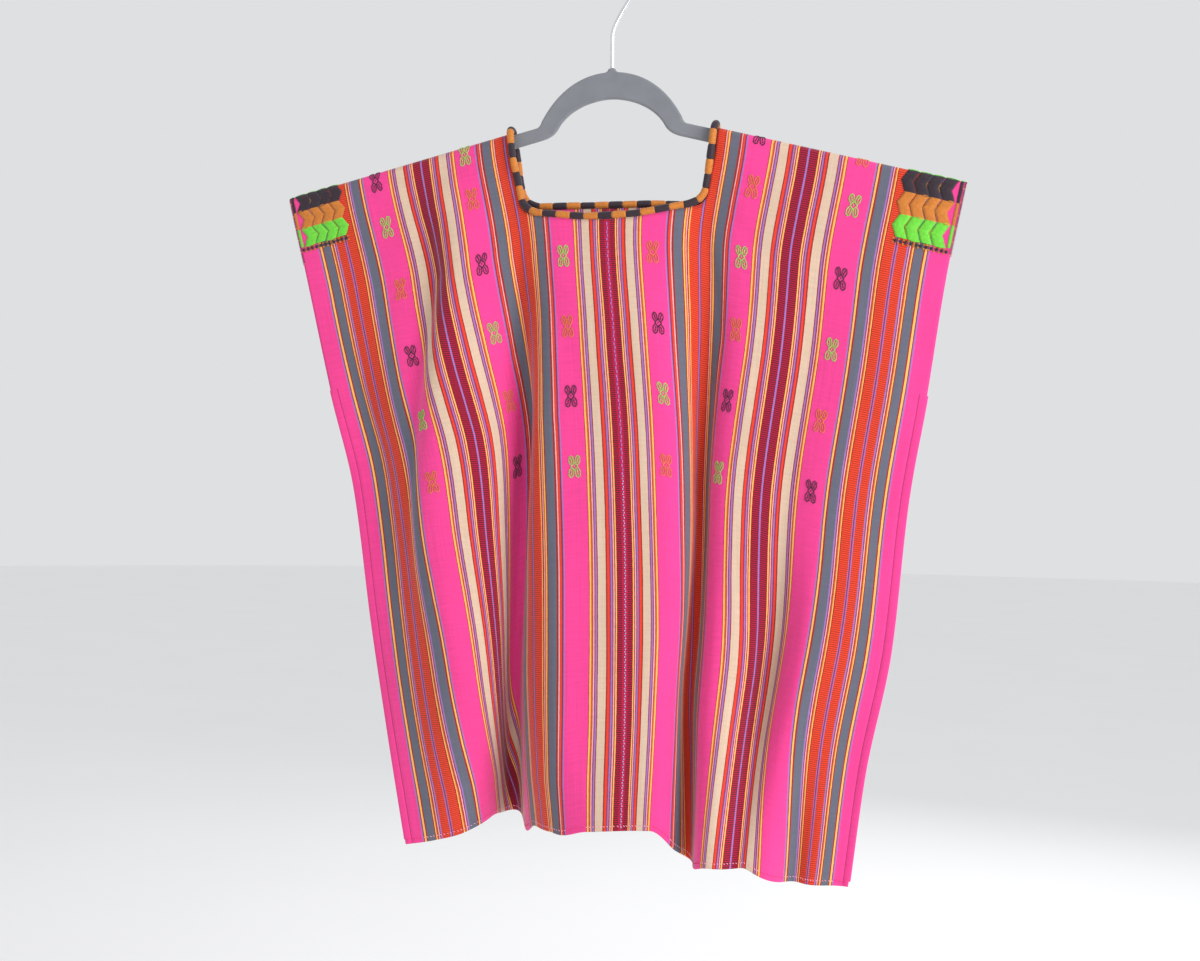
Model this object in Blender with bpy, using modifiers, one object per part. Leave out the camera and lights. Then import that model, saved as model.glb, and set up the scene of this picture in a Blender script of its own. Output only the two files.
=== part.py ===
"""Huipil blouse on a hanger.

Metres, +Z up. The front faces -Y, +X is the viewer's right, and the origin is inside the
crown of the hook, where a rail carries it. The blouse is two striped lengths of cloth joined
by a centre seam, each folded over the hanger, with a bound square neck. A place on the cloth
is given as (across, warp): across is the distance from the centre seam along the weft, and
warp the distance from the shoulder fold along the stripes, plus in front and minus behind.
"""

import math
from collections import namedtuple

import bmesh
import bpy
import numpy as np

# Cloth
WALL = 0.0012
SEAM_GAP = 0.0003
HALF_WIDTH = 0.284
FRONT_LENGTH = 0.575
BACK_LENGTH = 0.571
ARMHOLE = 0.172
NECK_LEFT = -0.076
NECK_RIGHT = 0.081
NECK_FRONT = 0.075
NECK_BACK = 0.067
NECK_CORNER = 0.014
CORNER_FADE = 0.028
FOLD_RADIUS = 0.004
LAYER_GAP = 0.009
SEAM_TAPER = 0.060

# Shoulder line
NECK_TOP_X = 0.088
NECK_TOP_Z = -0.147
NECK_LEVEL_X = 0.078
SHOULDER_SLOPE = 0.252
NECK_SPREAD_LEFT = 0.012
NECK_SPREAD_RIGHT = 0.008

# Trim
BINDING_RADIUS = 0.003
BINDING_CORNER = 0.0135
BINDING_GAP = 0.0006
BINDING_LIFT = 0.0033
BINDING_LIFT_REACH = 0.022
PATCH_WIDTH = 0.051
PATCH_DROP_LEFT = 0.051
PATCH_DROP_RIGHT = 0.061
PATCH_THICKNESS = 0.001
PATCH_LIFT = 0.0005
PATCH_EDGE = 0.0005

# Hanger
HANGER_HALF = 0.2225
HANGER_THICKNESS = 0.005
HANGER_EDGE = 0.0016
ARM_CLEARANCE = 0.0008
ARM_HALF_HEIGHT = 0.0056
CROWN_HALF_HEIGHT = 0.0112
HIP_HALF_HEIGHT = 0.0078
CROWN_RADIUS = 0.059
CROWN_Z = -0.1093
HIP_RADIUS = 0.016
BOSS_HALF_WIDTH = 0.0035
BOSS_HEIGHT = 0.003
WIRE_RADIUS = 0.00165
HOOK_RADIUS = 0.022
HOOK_BEND_Z = -0.0635
HOOK_BEND_REACH = 0.004
HOOK_LEAVE = math.radians(-34)
HOOK_END = math.radians(212)

# Grid of the cloth model
FINE_ACROSS = np.linspace(-HALF_WIDTH, HALF_WIDTH, 569)
FINE_DOWN = np.concatenate([np.linspace(0, 0.02, 11), np.linspace(0.025, FRONT_LENGTH, 111)])
COLUMNS = 26
ROWS_DOWN = (0.0, 0.0021, 0.0042, 0.0063, 0.012, 0.030, 0.053, 0.061, 0.075, 0.115, 0.172, 0.230,
             0.290, 0.350, 0.410, 0.465, 0.515, 0.550)

# The outline as it hangs: one row for each height down the cloth.
Hang = namedtuple("Hang", "down left_x seam_x right_x seam_y left_y right_y")
HANGS = (
    Hang(0.000, -0.281, 0.000, 0.285, 0.000, 0.000, 0.000),
    Hang(0.075, -0.2635, -0.001, 0.271, -0.002, 0.000, 0.000),
    Hang(0.172, -0.243, 0.007, 0.257, -0.007, 0.003, 0.003),
    Hang(0.260, -0.221, 0.015, 0.243, -0.009, 0.005, 0.004),
    Hang(0.380, -0.205, 0.020, 0.231, -0.009, 0.009, 0.006),
    Hang(0.480, -0.190, 0.021, 0.212, -0.009, 0.013, 0.009),
    Hang(0.575, -0.174, 0.019, 0.200, -0.009, 0.015, 0.012),
)

# The long folds: a trough at `across`, where the cloth falls back over reach_left and comes
# forward over reach_right. Each group is at the four LEVELS down the cloth, the yoke, the
# waist, the skirt and the hem. Turns are in degrees.
Fold = namedtuple("Fold", "across reach_left reach_right fall rise")
LEVELS = (0.10, 0.30, 0.43, 0.575)
FOLDS = (
    Fold((-0.256, -0.256, -0.256, -0.250), (0.028, 0.028, 0.028, 0.028),
         (0.060, 0.040, 0.040, 0.040), (2, 30, 8, 2), (2, 32, 6, 12)),
    Fold((-0.168, -0.232, -0.242, -0.242), (0.022, 0.018, 0.018, 0.018),
         (0.034, 0.022, 0.020, 0.020), (14, 14, 0, 0), (46, 38, 4, 0)),
    Fold((-0.085, -0.106, -0.116, -0.165), (0.080, 0.110, 0.115, 0.100),
         (0.045, 0.040, 0.052, 0.150), (14, 60, 80, 66), (14, 80, 60, 54)),
    Fold((0.085, 0.088, 0.079, 0.072), (0.066, 0.054, 0.056, 0.044),
         (0.040, 0.044, 0.052, 0.095), (12, 72, 78, 50), (12, 60, 60, 66)),
    Fold((0.185, 0.178, 0.172, 0.162), (0.050, 0.050, 0.040, 0.036),
         (0.055, 0.055, 0.056, 0.040), (3, 8, 46, 30), (4, 16, 48, 24)),
    Fold((0.235, 0.230, 0.228, 0.224), (0.024, 0.024, 0.024, 0.036),
         (0.030, 0.030, 0.030, 0.034), (0, 4, 16, 40), (0, 4, 6, 38)),
    Fold((0.300, 0.296, 0.294, 0.290), (0.030, 0.030, 0.030, 0.030),
         (0.020, 0.020, 0.020, 0.020), (0, -6, -16, -24), (0, 0, 0, 0)),
)
FOLD_SHAPE = 0.42
FOLD_SMOOTHING = 0.005

# How much higher than plumb the hem rides, because the blouse sits a little off level.
Lift = namedtuple("Lift", "across height")
LIFTS = (Lift(-0.284, 0.013), Lift(-0.230, 0.008), Lift(-0.200, 0.000), Lift(-0.165, -0.017),
         Lift(-0.130, -0.014), Lift(-0.095, -0.005), Lift(-0.060, -0.010), Lift(-0.030, -0.003),
         Lift(0.030, 0.001), Lift(0.060, -0.018), Lift(0.080, -0.028), Lift(0.100, -0.024),
         Lift(0.136, -0.012), Lift(0.221, -0.004), Lift(0.284, 0.008))
# How much deeper the neck hole is cut at each place along its front edge.
Dip = namedtuple("Dip", "across depth")
DIPS = (Dip(-0.284, 0.0), Dip(-0.104, 0.0), Dip(-0.070, -0.002), Dip(-0.015, 0.002),
        Dip(0.020, 0.001), Dip(0.076, -0.0075), Dip(0.112, 0.0), Dip(0.284, 0.0))
DIP_FLAT = 0.010
DIP_FADE = 0.030
LIFT_POWER = 1.5
SIDE_REACH = 0.060
SPREAD_DEPTH = 0.10

PINK = (0.84, 0.05, 0.28)
THREAD = (0.10, 0.04, 0.04)
EMBROIDERY = (0.16, 0.60, 0.05)
VELVET = (0.22, 0.23, 0.25)
STEEL = (0.75, 0.75, 0.77)


def smooth_through(knots, values, at):
    """A curve through the knots that doesn't overshoot them (monotone cubic)."""
    knots, values = np.asarray(knots, float), np.asarray(values, float)
    at = np.clip(at, knots[0], knots[-1])
    step = np.diff(knots)
    rise = np.diff(values) / step
    slope = np.zeros_like(values)
    same = rise[:-1] * rise[1:] > 0
    slope[1:-1][same] = 2 * rise[:-1][same] * rise[1:][same] / (rise[:-1] + rise[1:])[same]
    slope[0], slope[-1] = rise[0], rise[-1]
    i = np.clip(np.searchsorted(knots, at, side="right") - 1, 0, len(step) - 1)
    t = (at - knots[i]) / step[i]
    return (values[i] * (1 + 2 * t) * (1 - t) ** 2 + values[i + 1] * t * t * (3 - 2 * t)
            + step[i] * (slope[i] * t * (1 - t) ** 2 - slope[i + 1] * t * t * (1 - t)))


def smooth_step(t):
    t = np.clip(t, 0.0, 1.0)
    return t * t * (3 - 2 * t)


def hang_at(name, down):
    return smooth_through([h.down for h in HANGS], [getattr(h, name) for h in HANGS], down)


def level_at(values, down):
    return float(smooth_through(LEVELS, values, down))


def turn_at(down):
    """The cloth's turn from the X axis, in radians, along FINE_ACROSS."""
    turn = np.zeros_like(FINE_ACROSS)
    for fold in FOLDS:
        offset = FINE_ACROSS - level_at(fold.across, down)
        for side, reach, angles in ((offset < 0, fold.reach_left, fold.fall),
                                    (offset >= 0, fold.reach_right, fold.rise)):
            t = np.clip(np.abs(offset[side]) / level_at(reach, down), 0, 1)
            steep = math.radians(level_at(angles, down)) * smooth_step(down / LEVELS[0])
            sign = 1 if side[0] else -1
            turn[side] += sign * steep * np.sin(math.pi * t**FOLD_SHAPE)
    spread = int(3 * FOLD_SMOOTHING / (FINE_ACROSS[1] - FINE_ACROSS[0]))
    kernel = np.exp(-0.5 * (3 * np.arange(-spread, spread + 1) / spread) ** 2)
    padded = np.pad(turn, spread, mode="edge")
    return np.convolve(padded, kernel / kernel.sum(), mode="valid")


def run_out(angle, sine):
    """The distance covered from the centre seam, to either side, along FINE_ACROSS."""
    step = FINE_ACROSS[1] - FINE_ACROSS[0]
    pace = np.sin(angle) if sine else np.cos(angle)
    total = np.concatenate([[0], np.cumsum((pace[1:] + pace[:-1]) / 2 * step)])
    return total - total[len(total) // 2]


def scaled_turn(turn, left_width, right_width):
    """Deepens or eases the folds of each half until it hangs as wide as it should."""
    middle = len(turn) // 2
    scaled = turn.copy()
    for half, width in ((slice(None, middle + 1), left_width), (slice(middle, None), right_width)):
        low, high = 0.0, 1.25
        for _ in range(30):
            factor = (low + high) / 2
            trial = np.zeros_like(turn)
            trial[half] = turn[half] * factor
            reach = np.ptp(run_out(trial, sine=False)[half])
            low, high = (factor, high) if reach > width else (low, factor)
        scaled[half] = turn[half] * factor
    return scaled


def fold_out(down):
    quarter = FOLD_RADIUS * math.pi / 2
    return FOLD_RADIUS * np.sin(np.minimum(down, quarter) / FOLD_RADIUS)


def fold_drop(down):
    quarter = FOLD_RADIUS * math.pi / 2
    round_part = FOLD_RADIUS * (1 - np.cos(np.minimum(down, quarter) / FOLD_RADIUS))
    return round_part + np.maximum(down - quarter, 0)


def shoulder_z(x):
    return NECK_TOP_Z - SHOULDER_SLOPE * (np.maximum(np.abs(x), NECK_LEVEL_X) - NECK_TOP_X)


def neck_spread(down):
    """The shoulders slide apart along the arms, which opens the neck at the top."""
    fade = 1 - smooth_step(down / SPREAD_DEPTH)
    left = np.interp(FINE_ACROSS, (-HALF_WIDTH, NECK_LEFT, 0), (0, -NECK_SPREAD_LEFT, 0))
    right = np.interp(FINE_ACROSS, (0, NECK_RIGHT, HALF_WIDTH), (0, NECK_SPREAD_RIGHT, 0))
    return (left + right) * fade


def front_row(down):
    """x, y and turn along FINE_ACROSS, at one height down the front."""
    left, seam, right = (hang_at(name, down) for name in ("left_x", "seam_x", "right_x"))
    turn = scaled_turn(turn_at(down), seam - left, right - seam)
    x, y = run_out(turn, sine=False), run_out(turn, sine=True)
    x = seam + np.where(x < 0, x * (left - seam) / x[0], x * (right - seam) / x[-1])
    reach = np.clip((np.abs(FINE_ACROSS) - SIDE_REACH) / (HALF_WIDTH - SIDE_REACH), 0, 1)
    y = y + hang_at("seam_y", down)
    y = y + np.where(FINE_ACROSS < 0, hang_at("left_y", down) - y[0],
                     hang_at("right_y", down) - y[-1]) * reach
    seam_half = (WALL + SEAM_GAP) / 2
    near_edge = 1 - smooth_step((HALF_WIDTH - np.abs(FINE_ACROSS)) / SEAM_TAPER)
    closed = smooth_step(down / ARMHOLE) * near_edge
    y = y - fold_out(down) * (1 - closed) - seam_half * closed
    return x + neck_spread(down), y, turn


def back_row(down, x, y, turn):
    """The back hangs behind the front and follows its folds, a gap away square to the cloth."""
    edge = 2 * fold_out(down) + (WALL + SEAM_GAP - 2 * fold_out(down)) * smooth_step(down / ARMHOLE)
    middle = 2 * fold_out(down) + (LAYER_GAP - 2 * FOLD_RADIUS) * smooth_step(down / NECK_FRONT)
    inward = smooth_step((HALF_WIDTH - np.abs(FINE_ACROSS)) / SEAM_TAPER)
    gap = edge + (middle - edge) * inward
    return x - gap * np.sin(turn), y + gap * np.cos(turn)


def lengths_along(x, y):
    return np.concatenate([[0], np.cumsum(np.hypot(np.diff(x), np.diff(y)))])


def spaced_like(front_x, front_y, back):
    """Moves the points of each half of a back row along it, until they are spaced as in front."""
    middle = len(front_x) // 2
    moved = back.copy()
    for half in (slice(None, middle + 1), slice(middle, None)):
        wanted = lengths_along(front_x[half], front_y[half])
        length = lengths_along(back[half, 0], back[half, 1])
        at = wanted * length[-1] / wanted[-1]
        for axis in range(3):
            moved[half, axis] = np.interp(at, length, back[half, axis])
    return moved


def cloth_model():
    """Front and back as arrays of points, [layer][row down][place across]."""
    rows = [front_row(down) for down in FINE_DOWN]
    front = np.array([np.stack([x, y, np.zeros_like(x)], axis=1) for x, y, _ in rows])
    steps = np.diff(FINE_DOWN)[:, None]
    drift = np.hypot(*(np.diff(front[:, :, axis], axis=0) / steps for axis in (0, 1)))
    drift[FINE_DOWN[:-1] < NECK_FRONT / 4] = 0.0
    fall = steps * np.sqrt(np.clip(1 - drift**2, 0.3, 1))
    fallen = np.concatenate([np.zeros((1, len(FINE_ACROSS))), np.cumsum(fall, axis=0)])
    flat = fold_drop(FINE_DOWN)[:, None] - FINE_DOWN[:, None]
    lift = smooth_through([l.across for l in LIFTS], [l.height for l in LIFTS], FINE_ACROSS)
    lifted = lift * ((FINE_DOWN / FRONT_LENGTH) ** LIFT_POWER)[:, None]
    front[:, :, 2] = shoulder_z(front[0, :, 0]) - fallen - flat + lifted
    back = np.empty_like(front)
    for i, (x, y, turn) in enumerate(rows):
        bx, by = back_row(FINE_DOWN[i], x, y, turn)
        back[i] = spaced_like(x, y, np.stack([bx, by, front[i, :, 2]], axis=1))
    return {1: front, -1: back}


MODEL = cloth_model()


def cloth_at(across, warp):
    """A point of the cloth's middle surface."""
    grid = MODEL[1 if warp >= 0 else -1]
    down = abs(warp)
    i = int(np.clip(np.searchsorted(FINE_DOWN, down) - 1, 0, len(FINE_DOWN) - 2))
    u = (down - FINE_DOWN[i]) / (FINE_DOWN[i + 1] - FINE_DOWN[i])
    place = (across + HALF_WIDTH) / (FINE_ACROSS[1] - FINE_ACROSS[0])
    j = int(np.clip(place, 0, len(FINE_ACROSS) - 2))
    v = place - j
    near = grid[i, j] * (1 - v) + grid[i, j + 1] * v
    far = grid[i + 1, j] * (1 - v) + grid[i + 1, j + 1] * v
    return near * (1 - u) + far * u


def outward(across, warp):
    """The unit normal that points out of the garment."""
    d = 0.0012
    a = min(max(across, -HALF_WIDTH + d), HALF_WIDTH - d)
    along = cloth_at(a + d, warp) - cloth_at(a - d, warp)
    down = cloth_at(a, warp + d) - cloth_at(a, warp - d)
    normal = np.cross(down, along)
    return normal / np.linalg.norm(normal)


def dipped(across, warp):
    """A place of the grid moved down the cloth with the front edge of the neck hole."""
    depth = smooth_through([d.across for d in DIPS], [d.depth for d in DIPS], across)
    away = (abs(warp - NECK_FRONT) - DIP_FLAT) / DIP_FADE
    return across, warp + float(depth * (1 - smooth_step(away)))


def eased(across, warp):
    """A place of the grid moved so that the corners of the neck hole are round."""
    side, end = (1 if across > 0 else -1), (1 if warp > 0 else -1)
    centre_a = (NECK_RIGHT if side > 0 else NECK_LEFT) - side * NECK_CORNER
    centre_w = (NECK_FRONT if end > 0 else -NECK_BACK) - end * NECK_CORNER
    a, w = side * (across - centre_a), end * (warp - centre_w)
    if min(a, w) <= 0:
        return dipped(across, warp)
    fade = 1 - smooth_step((max(a, w) - NECK_CORNER) / CORNER_FADE)
    scale = 1 + (max(a, w) / math.hypot(a, w) - 1) * fade
    return dipped(centre_a + side * a * scale, centre_w + end * w * scale)


def material(name, colour, roughness, metallic=0.0):
    made = bpy.data.materials.new(name)
    made.use_nodes = True
    shader = made.node_tree.nodes["Principled BSDF"]
    shader.inputs["Base Color"].default_value = (*colour, 1)
    shader.inputs["Roughness"].default_value = roughness
    shader.inputs["Metallic"].default_value = metallic
    return made


def add_object(name, data, collection, finish):
    made = bpy.data.objects.new(name, data)
    data.materials.append(finish)
    collection.objects.link(made)
    return made


def sheet(name, places, keep, out, thickness, collection, finish):
    """A closed wall of cloth on a grid of (across, warp) places, `out` off the middle surface."""
    mesh = bmesh.new()
    rows = [[mesh.verts.new(cloth_at(*eased(*place)) + out * outward(*eased(*place)))
             for place in row] for row in places]
    for i in range(len(places) - 1):
        for j in range(len(places[0]) - 1):
            across = (places[i][j][0] + places[i][j + 1][0]) / 2
            warp = (places[i][j][1] + places[i + 1][j][1]) / 2
            if keep(across, warp):
                mesh.faces.new((rows[i][j], rows[i][j + 1], rows[i + 1][j + 1], rows[i + 1][j]))
    loose = [vert for vert in mesh.verts if not vert.link_faces]
    bmesh.ops.delete(mesh, geom=loose, context="VERTS")
    data = bpy.data.meshes.new(name)
    mesh.to_mesh(data)
    mesh.free()
    data.shade_smooth()
    made = add_object(name, data, collection, finish)
    wall = made.modifiers.new("Wall", "SOLIDIFY")
    wall.thickness = thickness
    wall.offset = 0
    wall.use_even_offset = True
    return made


def panel_warps():
    front = [*ROWS_DOWN[1:], FRONT_LENGTH]
    back = [-d for d in front if d not in (FRONT_LENGTH, NECK_FRONT)] + [-NECK_BACK, -BACK_LENGTH]
    return sorted(back + [0.0] + front)


def panel_acrosses(side):
    """Even columns from the seam to the edge, with one moved onto the edge of the neck hole."""
    neck = NECK_LEFT if side < 0 else NECK_RIGHT
    columns = side * np.linspace(SEAM_GAP / 2, HALF_WIDTH, COLUMNS + 1)
    columns[np.argmin(np.abs(columns - neck))] = neck
    return sorted(columns)


def outside_neck(across, warp):
    return not (NECK_LEFT < across < NECK_RIGHT and -NECK_BACK < warp < NECK_FRONT)


def add_panels(collection):
    finish = material("striped_cloth", PINK, 0.85)
    for name, side in (("panel_left", -1), ("panel_right", 1)):
        acrosses = panel_acrosses(side)
        places = [[(across, warp) for across in acrosses] for warp in panel_warps()]
        sheet(name, places, outside_neck, 0.0, WALL, collection, finish)


def add_shoulder_patches(collection):
    finish = material("embroidery_thread", EMBROIDERY, 0.6)
    out = (WALL + PATCH_THICKNESS) / 2 + PATCH_LIFT
    for name, side, drop in (("shoulder_patch_left", -1, PATCH_DROP_LEFT),
                             ("shoulder_patch_right", 1, PATCH_DROP_RIGHT)):
        warps = [-drop, *(w for w in panel_warps() if abs(w) < drop - 0.005), drop]
        reach = np.linspace(HALF_WIDTH - PATCH_WIDTH, HALF_WIDTH - PATCH_EDGE, 6)
        acrosses = sorted(side * reach)
        places = [[(across, warp) for across in acrosses] for warp in warps]
        sheet(name, places, lambda across, warp: True, out, PATCH_THICKNESS, collection, finish)


def corner(x, warp, radius, start):
    """A quarter turn of places about (x, warp), from `start` degrees, towards the left."""
    angles = [math.radians(start + turn) for turn in (0, 22.5, 45, 67.5, 90)]
    return [(x + radius * math.cos(a), warp + radius * math.sin(a)) for a in angles]


def neck_route():
    """Places round the neck hole, just inside its cut edge, closest where it goes over the fold."""
    inset = BINDING_RADIUS + BINDING_GAP
    left, right = NECK_LEFT + inset + BINDING_CORNER, NECK_RIGHT - inset - BINDING_CORNER
    low, high = -NECK_BACK + inset + BINDING_CORNER, NECK_FRONT - inset - BINDING_CORNER
    across = list(np.linspace(left, right, 15))[1:-1]
    over = [0.0, 0.002, 0.004, 0.006, 0.009, 0.014, 0.022, 0.032, 0.044]
    rise = sorted([-w for w in over if w] + over)
    front, back = high + BINDING_CORNER, low - BINDING_CORNER
    return (corner(right, high, BINDING_CORNER, 0) + [(a, front) for a in reversed(across)]
            + corner(left, high, BINDING_CORNER, 90)
            + [(left - BINDING_CORNER, w) for w in reversed(rise)]
            + corner(left, low, BINDING_CORNER, 180) + [(a, back) for a in across]
            + corner(right, low, BINDING_CORNER, 270)
            + [(right + BINDING_CORNER, w) for w in rise])


def add_wire(name, route, radius, cyclic, collection, finish):
    curve = bpy.data.curves.new(name, "CURVE")
    curve.dimensions = "3D"
    curve.bevel_depth = radius
    curve.bevel_resolution = 2
    curve.use_fill_caps = not cyclic
    spline = curve.splines.new("POLY")
    spline.points.add(len(route) - 1)
    for point, place in zip(spline.points, route):
        point.co = (*place, 1)
    spline.use_cyclic_u = cyclic
    return add_object(name, curve, collection, finish)


def add_neck_binding(collection):
    """The roll round the neck hole. It stands off where it crosses the arms of the hanger."""
    route = []
    for across, warp in (dipped(*place) for place in neck_route()):
        lift = BINDING_LIFT * (1 - smooth_step(abs(warp) / BINDING_LIFT_REACH - 1))
        route.append(cloth_at(across, warp) + lift * outward(across, warp))
    finish = material("binding_thread", THREAD, 0.7)
    add_wire("neck_binding", route, BINDING_RADIUS, True, collection, finish)


def hanger_centreline():
    """Points (x, z, half height) from the crown to the tip: crown arc, hip arc and straight arm."""
    slope = math.atan(SHOULDER_SLOPE)
    cloth_over_arm = WALL / 2 + ARM_CLEARANCE
    arm_top_z = NECK_TOP_Z - cloth_over_arm / math.cos(slope)
    arm_z = arm_top_z - ARM_HALF_HEIGHT / math.cos(slope)
    crown_centre = CROWN_Z - CROWN_RADIUS
    # The hip arc touches the crown arc and the arm: its centre is on a line above the arm.
    line_z = arm_z + HIP_RADIUS / math.cos(slope) + SHOULDER_SLOPE * NECK_TOP_X - crown_centre
    reach = CROWN_RADIUS + HIP_RADIUS
    a, b, c = 1 + SHOULDER_SLOPE**2, -2 * SHOULDER_SLOPE * line_z, line_z**2 - reach**2
    hip_x = (-b + math.sqrt(b * b - 4 * a * c)) / (2 * a)
    hip_z = crown_centre + line_z - SHOULDER_SLOPE * hip_x
    meet = math.asin(hip_x / reach)
    points = []
    for k in range(13):
        turn = meet * k / 12
        taper = smooth_step(turn / meet) ** 1.5
        half = CROWN_HALF_HEIGHT + (HIP_HALF_HEIGHT - CROWN_HALF_HEIGHT) * taper
        points.append((CROWN_RADIUS * math.sin(turn),
                       crown_centre + CROWN_RADIUS * math.cos(turn), half))
    for k in range(1, 8):
        turn = meet + (slope - meet) * k / 7
        half = HIP_HALF_HEIGHT + (ARM_HALF_HEIGHT - HIP_HALF_HEIGHT) * smooth_step(k / 7)
        points.append((hip_x - HIP_RADIUS * math.sin(turn),
                       hip_z - HIP_RADIUS * math.cos(turn), half))
    tip_x = HANGER_HALF - ARM_HALF_HEIGHT
    points.append((tip_x, arm_z - SHOULDER_SLOPE * (tip_x - NECK_TOP_X), ARM_HALF_HEIGHT))
    return points


def hanger_outline():
    """The right half of the hanger's edge, from the top of the crown round the tip to its underside."""
    line = hanger_centreline()
    upper, lower = [], []
    for i, (x, z, half) in enumerate(line):
        before, after = line[max(i - 1, 0)], line[min(i + 1, len(line) - 1)]
        turn = math.atan2(after[1] - before[1], after[0] - before[0]) if i else 0.0
        upper.append((x - half * math.sin(turn), z + half * math.cos(turn)))
        lower.append((x + half * math.sin(turn), z - half * math.cos(turn)))
    tip_x, tip_z, half = line[-1]
    start = math.atan2(upper[-1][1] - tip_z, upper[-1][0] - tip_x)
    tip = [(tip_x + half * math.cos(start - math.pi * k / 8),
            tip_z + half * math.sin(start - math.pi * k / 8)) for k in range(1, 8)]
    crown_z = upper[0][1]
    boss = [(0.0, crown_z + BOSS_HEIGHT), (BOSS_HALF_WIDTH * 0.7, crown_z + BOSS_HEIGHT * 0.9),
            (BOSS_HALF_WIDTH, crown_z + BOSS_HEIGHT * 0.4)]
    return boss + [p for p in upper if p[0] > 1.3 * BOSS_HALF_WIDTH] + tip + lower[::-1]


def add_hanger(collection):
    half = hanger_outline()
    loop = half + [(-x, z) for x, z in reversed(half) if x > 1e-6]
    curve = bpy.data.curves.new("hanger_body", "CURVE")
    curve.dimensions = "2D"
    curve.fill_mode = "BOTH"
    curve.extrude = HANGER_THICKNESS / 2 - HANGER_EDGE
    curve.bevel_depth = HANGER_EDGE
    curve.bevel_resolution = 1
    curve.offset = -HANGER_EDGE
    spline = curve.splines.new("POLY")
    spline.points.add(len(loop) - 1)
    for point, (x, z) in zip(spline.points, loop):
        point.co = (x, z, 0, 1)
    spline.use_cyclic_u = True
    body = add_object("hanger_body", curve, collection, material("flocked_plastic", VELVET, 0.95))
    body.rotation_euler = (math.pi / 2, 0, 0)


def hook_route():
    """Up from the boss, out to the right, and round over the rail to the tip on the left."""
    centre_z = -(HOOK_RADIUS - WIRE_RADIUS)
    boss_top = CROWN_Z + CROWN_HALF_HEIGHT + BOSS_HEIGHT
    leave = (HOOK_RADIUS * math.cos(HOOK_LEAVE), centre_z + HOOK_RADIUS * math.sin(HOOK_LEAVE))
    foot, start = boss_top + SEAM_GAP, HOOK_BEND_Z - HOOK_BEND_REACH
    straight = [(0.0, foot + (start - foot) * k / 4) for k in range(5)]
    corners = ((0.0, start), (0.0, HOOK_BEND_Z + HOOK_BEND_REACH), leave)
    sweep = []
    for t in np.arange(1, 6) / 6:
        weights = ((1 - t) ** 2, 2 * t * (1 - t), t * t)
        sweep.append(tuple(sum(w * c[i] for w, c in zip(weights, corners)) for i in (0, 1)))
    turns = [HOOK_LEAVE + (HOOK_END - HOOK_LEAVE) * k / 26 for k in range(27)]
    loop = [(HOOK_RADIUS * math.cos(a), centre_z + HOOK_RADIUS * math.sin(a)) for a in turns]
    return [(x, 0.0, z) for x, z in straight + sweep + loop]


def main():
    for obj in list(bpy.data.objects):
        bpy.data.objects.remove(obj)
    collection = bpy.data.collections.new("huipil_on_hanger")
    bpy.context.scene.collection.children.link(collection)
    add_panels(collection)
    add_shoulder_patches(collection)
    add_neck_binding(collection)
    add_hanger(collection)
    add_wire("hanger_hook", hook_route(), WIRE_RADIUS, False, collection,
             material("chromed_steel", STEEL, 0.25, 1.0))


main()
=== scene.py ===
"""The looks of the huipil blouse on its hanger.

A place on the cloth is (across, warp), in metres: across from the centre seam along the weft,
and warp from the shoulder fold along the stripes, plus in front and minus behind.
"""

import math
from collections import namedtuple

import bpy
import numpy as np
from mathutils import Matrix, Vector


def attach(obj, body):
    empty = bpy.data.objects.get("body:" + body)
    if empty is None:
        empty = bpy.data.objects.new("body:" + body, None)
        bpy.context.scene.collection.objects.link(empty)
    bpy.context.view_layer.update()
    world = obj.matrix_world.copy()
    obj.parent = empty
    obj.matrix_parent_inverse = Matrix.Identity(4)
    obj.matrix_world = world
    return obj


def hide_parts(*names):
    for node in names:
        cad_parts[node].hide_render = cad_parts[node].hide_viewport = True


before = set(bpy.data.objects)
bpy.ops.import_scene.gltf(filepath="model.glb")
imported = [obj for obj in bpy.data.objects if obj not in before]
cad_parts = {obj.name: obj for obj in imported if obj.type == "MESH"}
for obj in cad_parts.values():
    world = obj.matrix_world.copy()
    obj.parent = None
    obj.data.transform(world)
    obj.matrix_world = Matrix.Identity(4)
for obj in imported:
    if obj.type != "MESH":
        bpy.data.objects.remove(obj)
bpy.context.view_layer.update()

# ---------------------------------------------------------------- sizes, in metres
# Most are the CAD's. SHELL, the wall made here, is thinner than the CAD's WALL, BINDING_GAP
# sets the roll closer to the cloth, and HANGER_EDGE is rounder.
SHELL = 0.0009
SEAM_GAP = 0.0003
WALL = 0.0012
HALF_WIDTH = 0.284
FRONT_LENGTH = 0.575
BACK_LENGTH = 0.571
ARMHOLE = 0.172
NECK_LEFT = -0.076
NECK_RIGHT = 0.081
NECK_FRONT = 0.075
NECK_BACK = 0.067
Face = namedtuple("Face", "sign neck length")
FACES = (Face(1, NECK_FRONT, FRONT_LENGTH), Face(-1, NECK_BACK, BACK_LENGTH))
NECK_CORNER = 0.014
CORNER_FADE = 0.028
FOLD_RADIUS = 0.004
QUARTER_FOLD = FOLD_RADIUS * math.pi / 2
LAYER_GAP = 0.009
SEAM_TAPER = 0.060

NECK_TOP_X = 0.088
NECK_TOP_Z = -0.147
NECK_LEVEL_X = 0.078
SHOULDER_SLOPE = 0.252
NECK_SPREAD_LEFT = 0.012
NECK_SPREAD_RIGHT = 0.008

BINDING_RADIUS = 0.003
BINDING_CORNER = 0.0135
BINDING_GAP = -0.0003
BINDING_LIFT = 0.0033
BINDING_LIFT_REACH = 0.022

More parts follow.
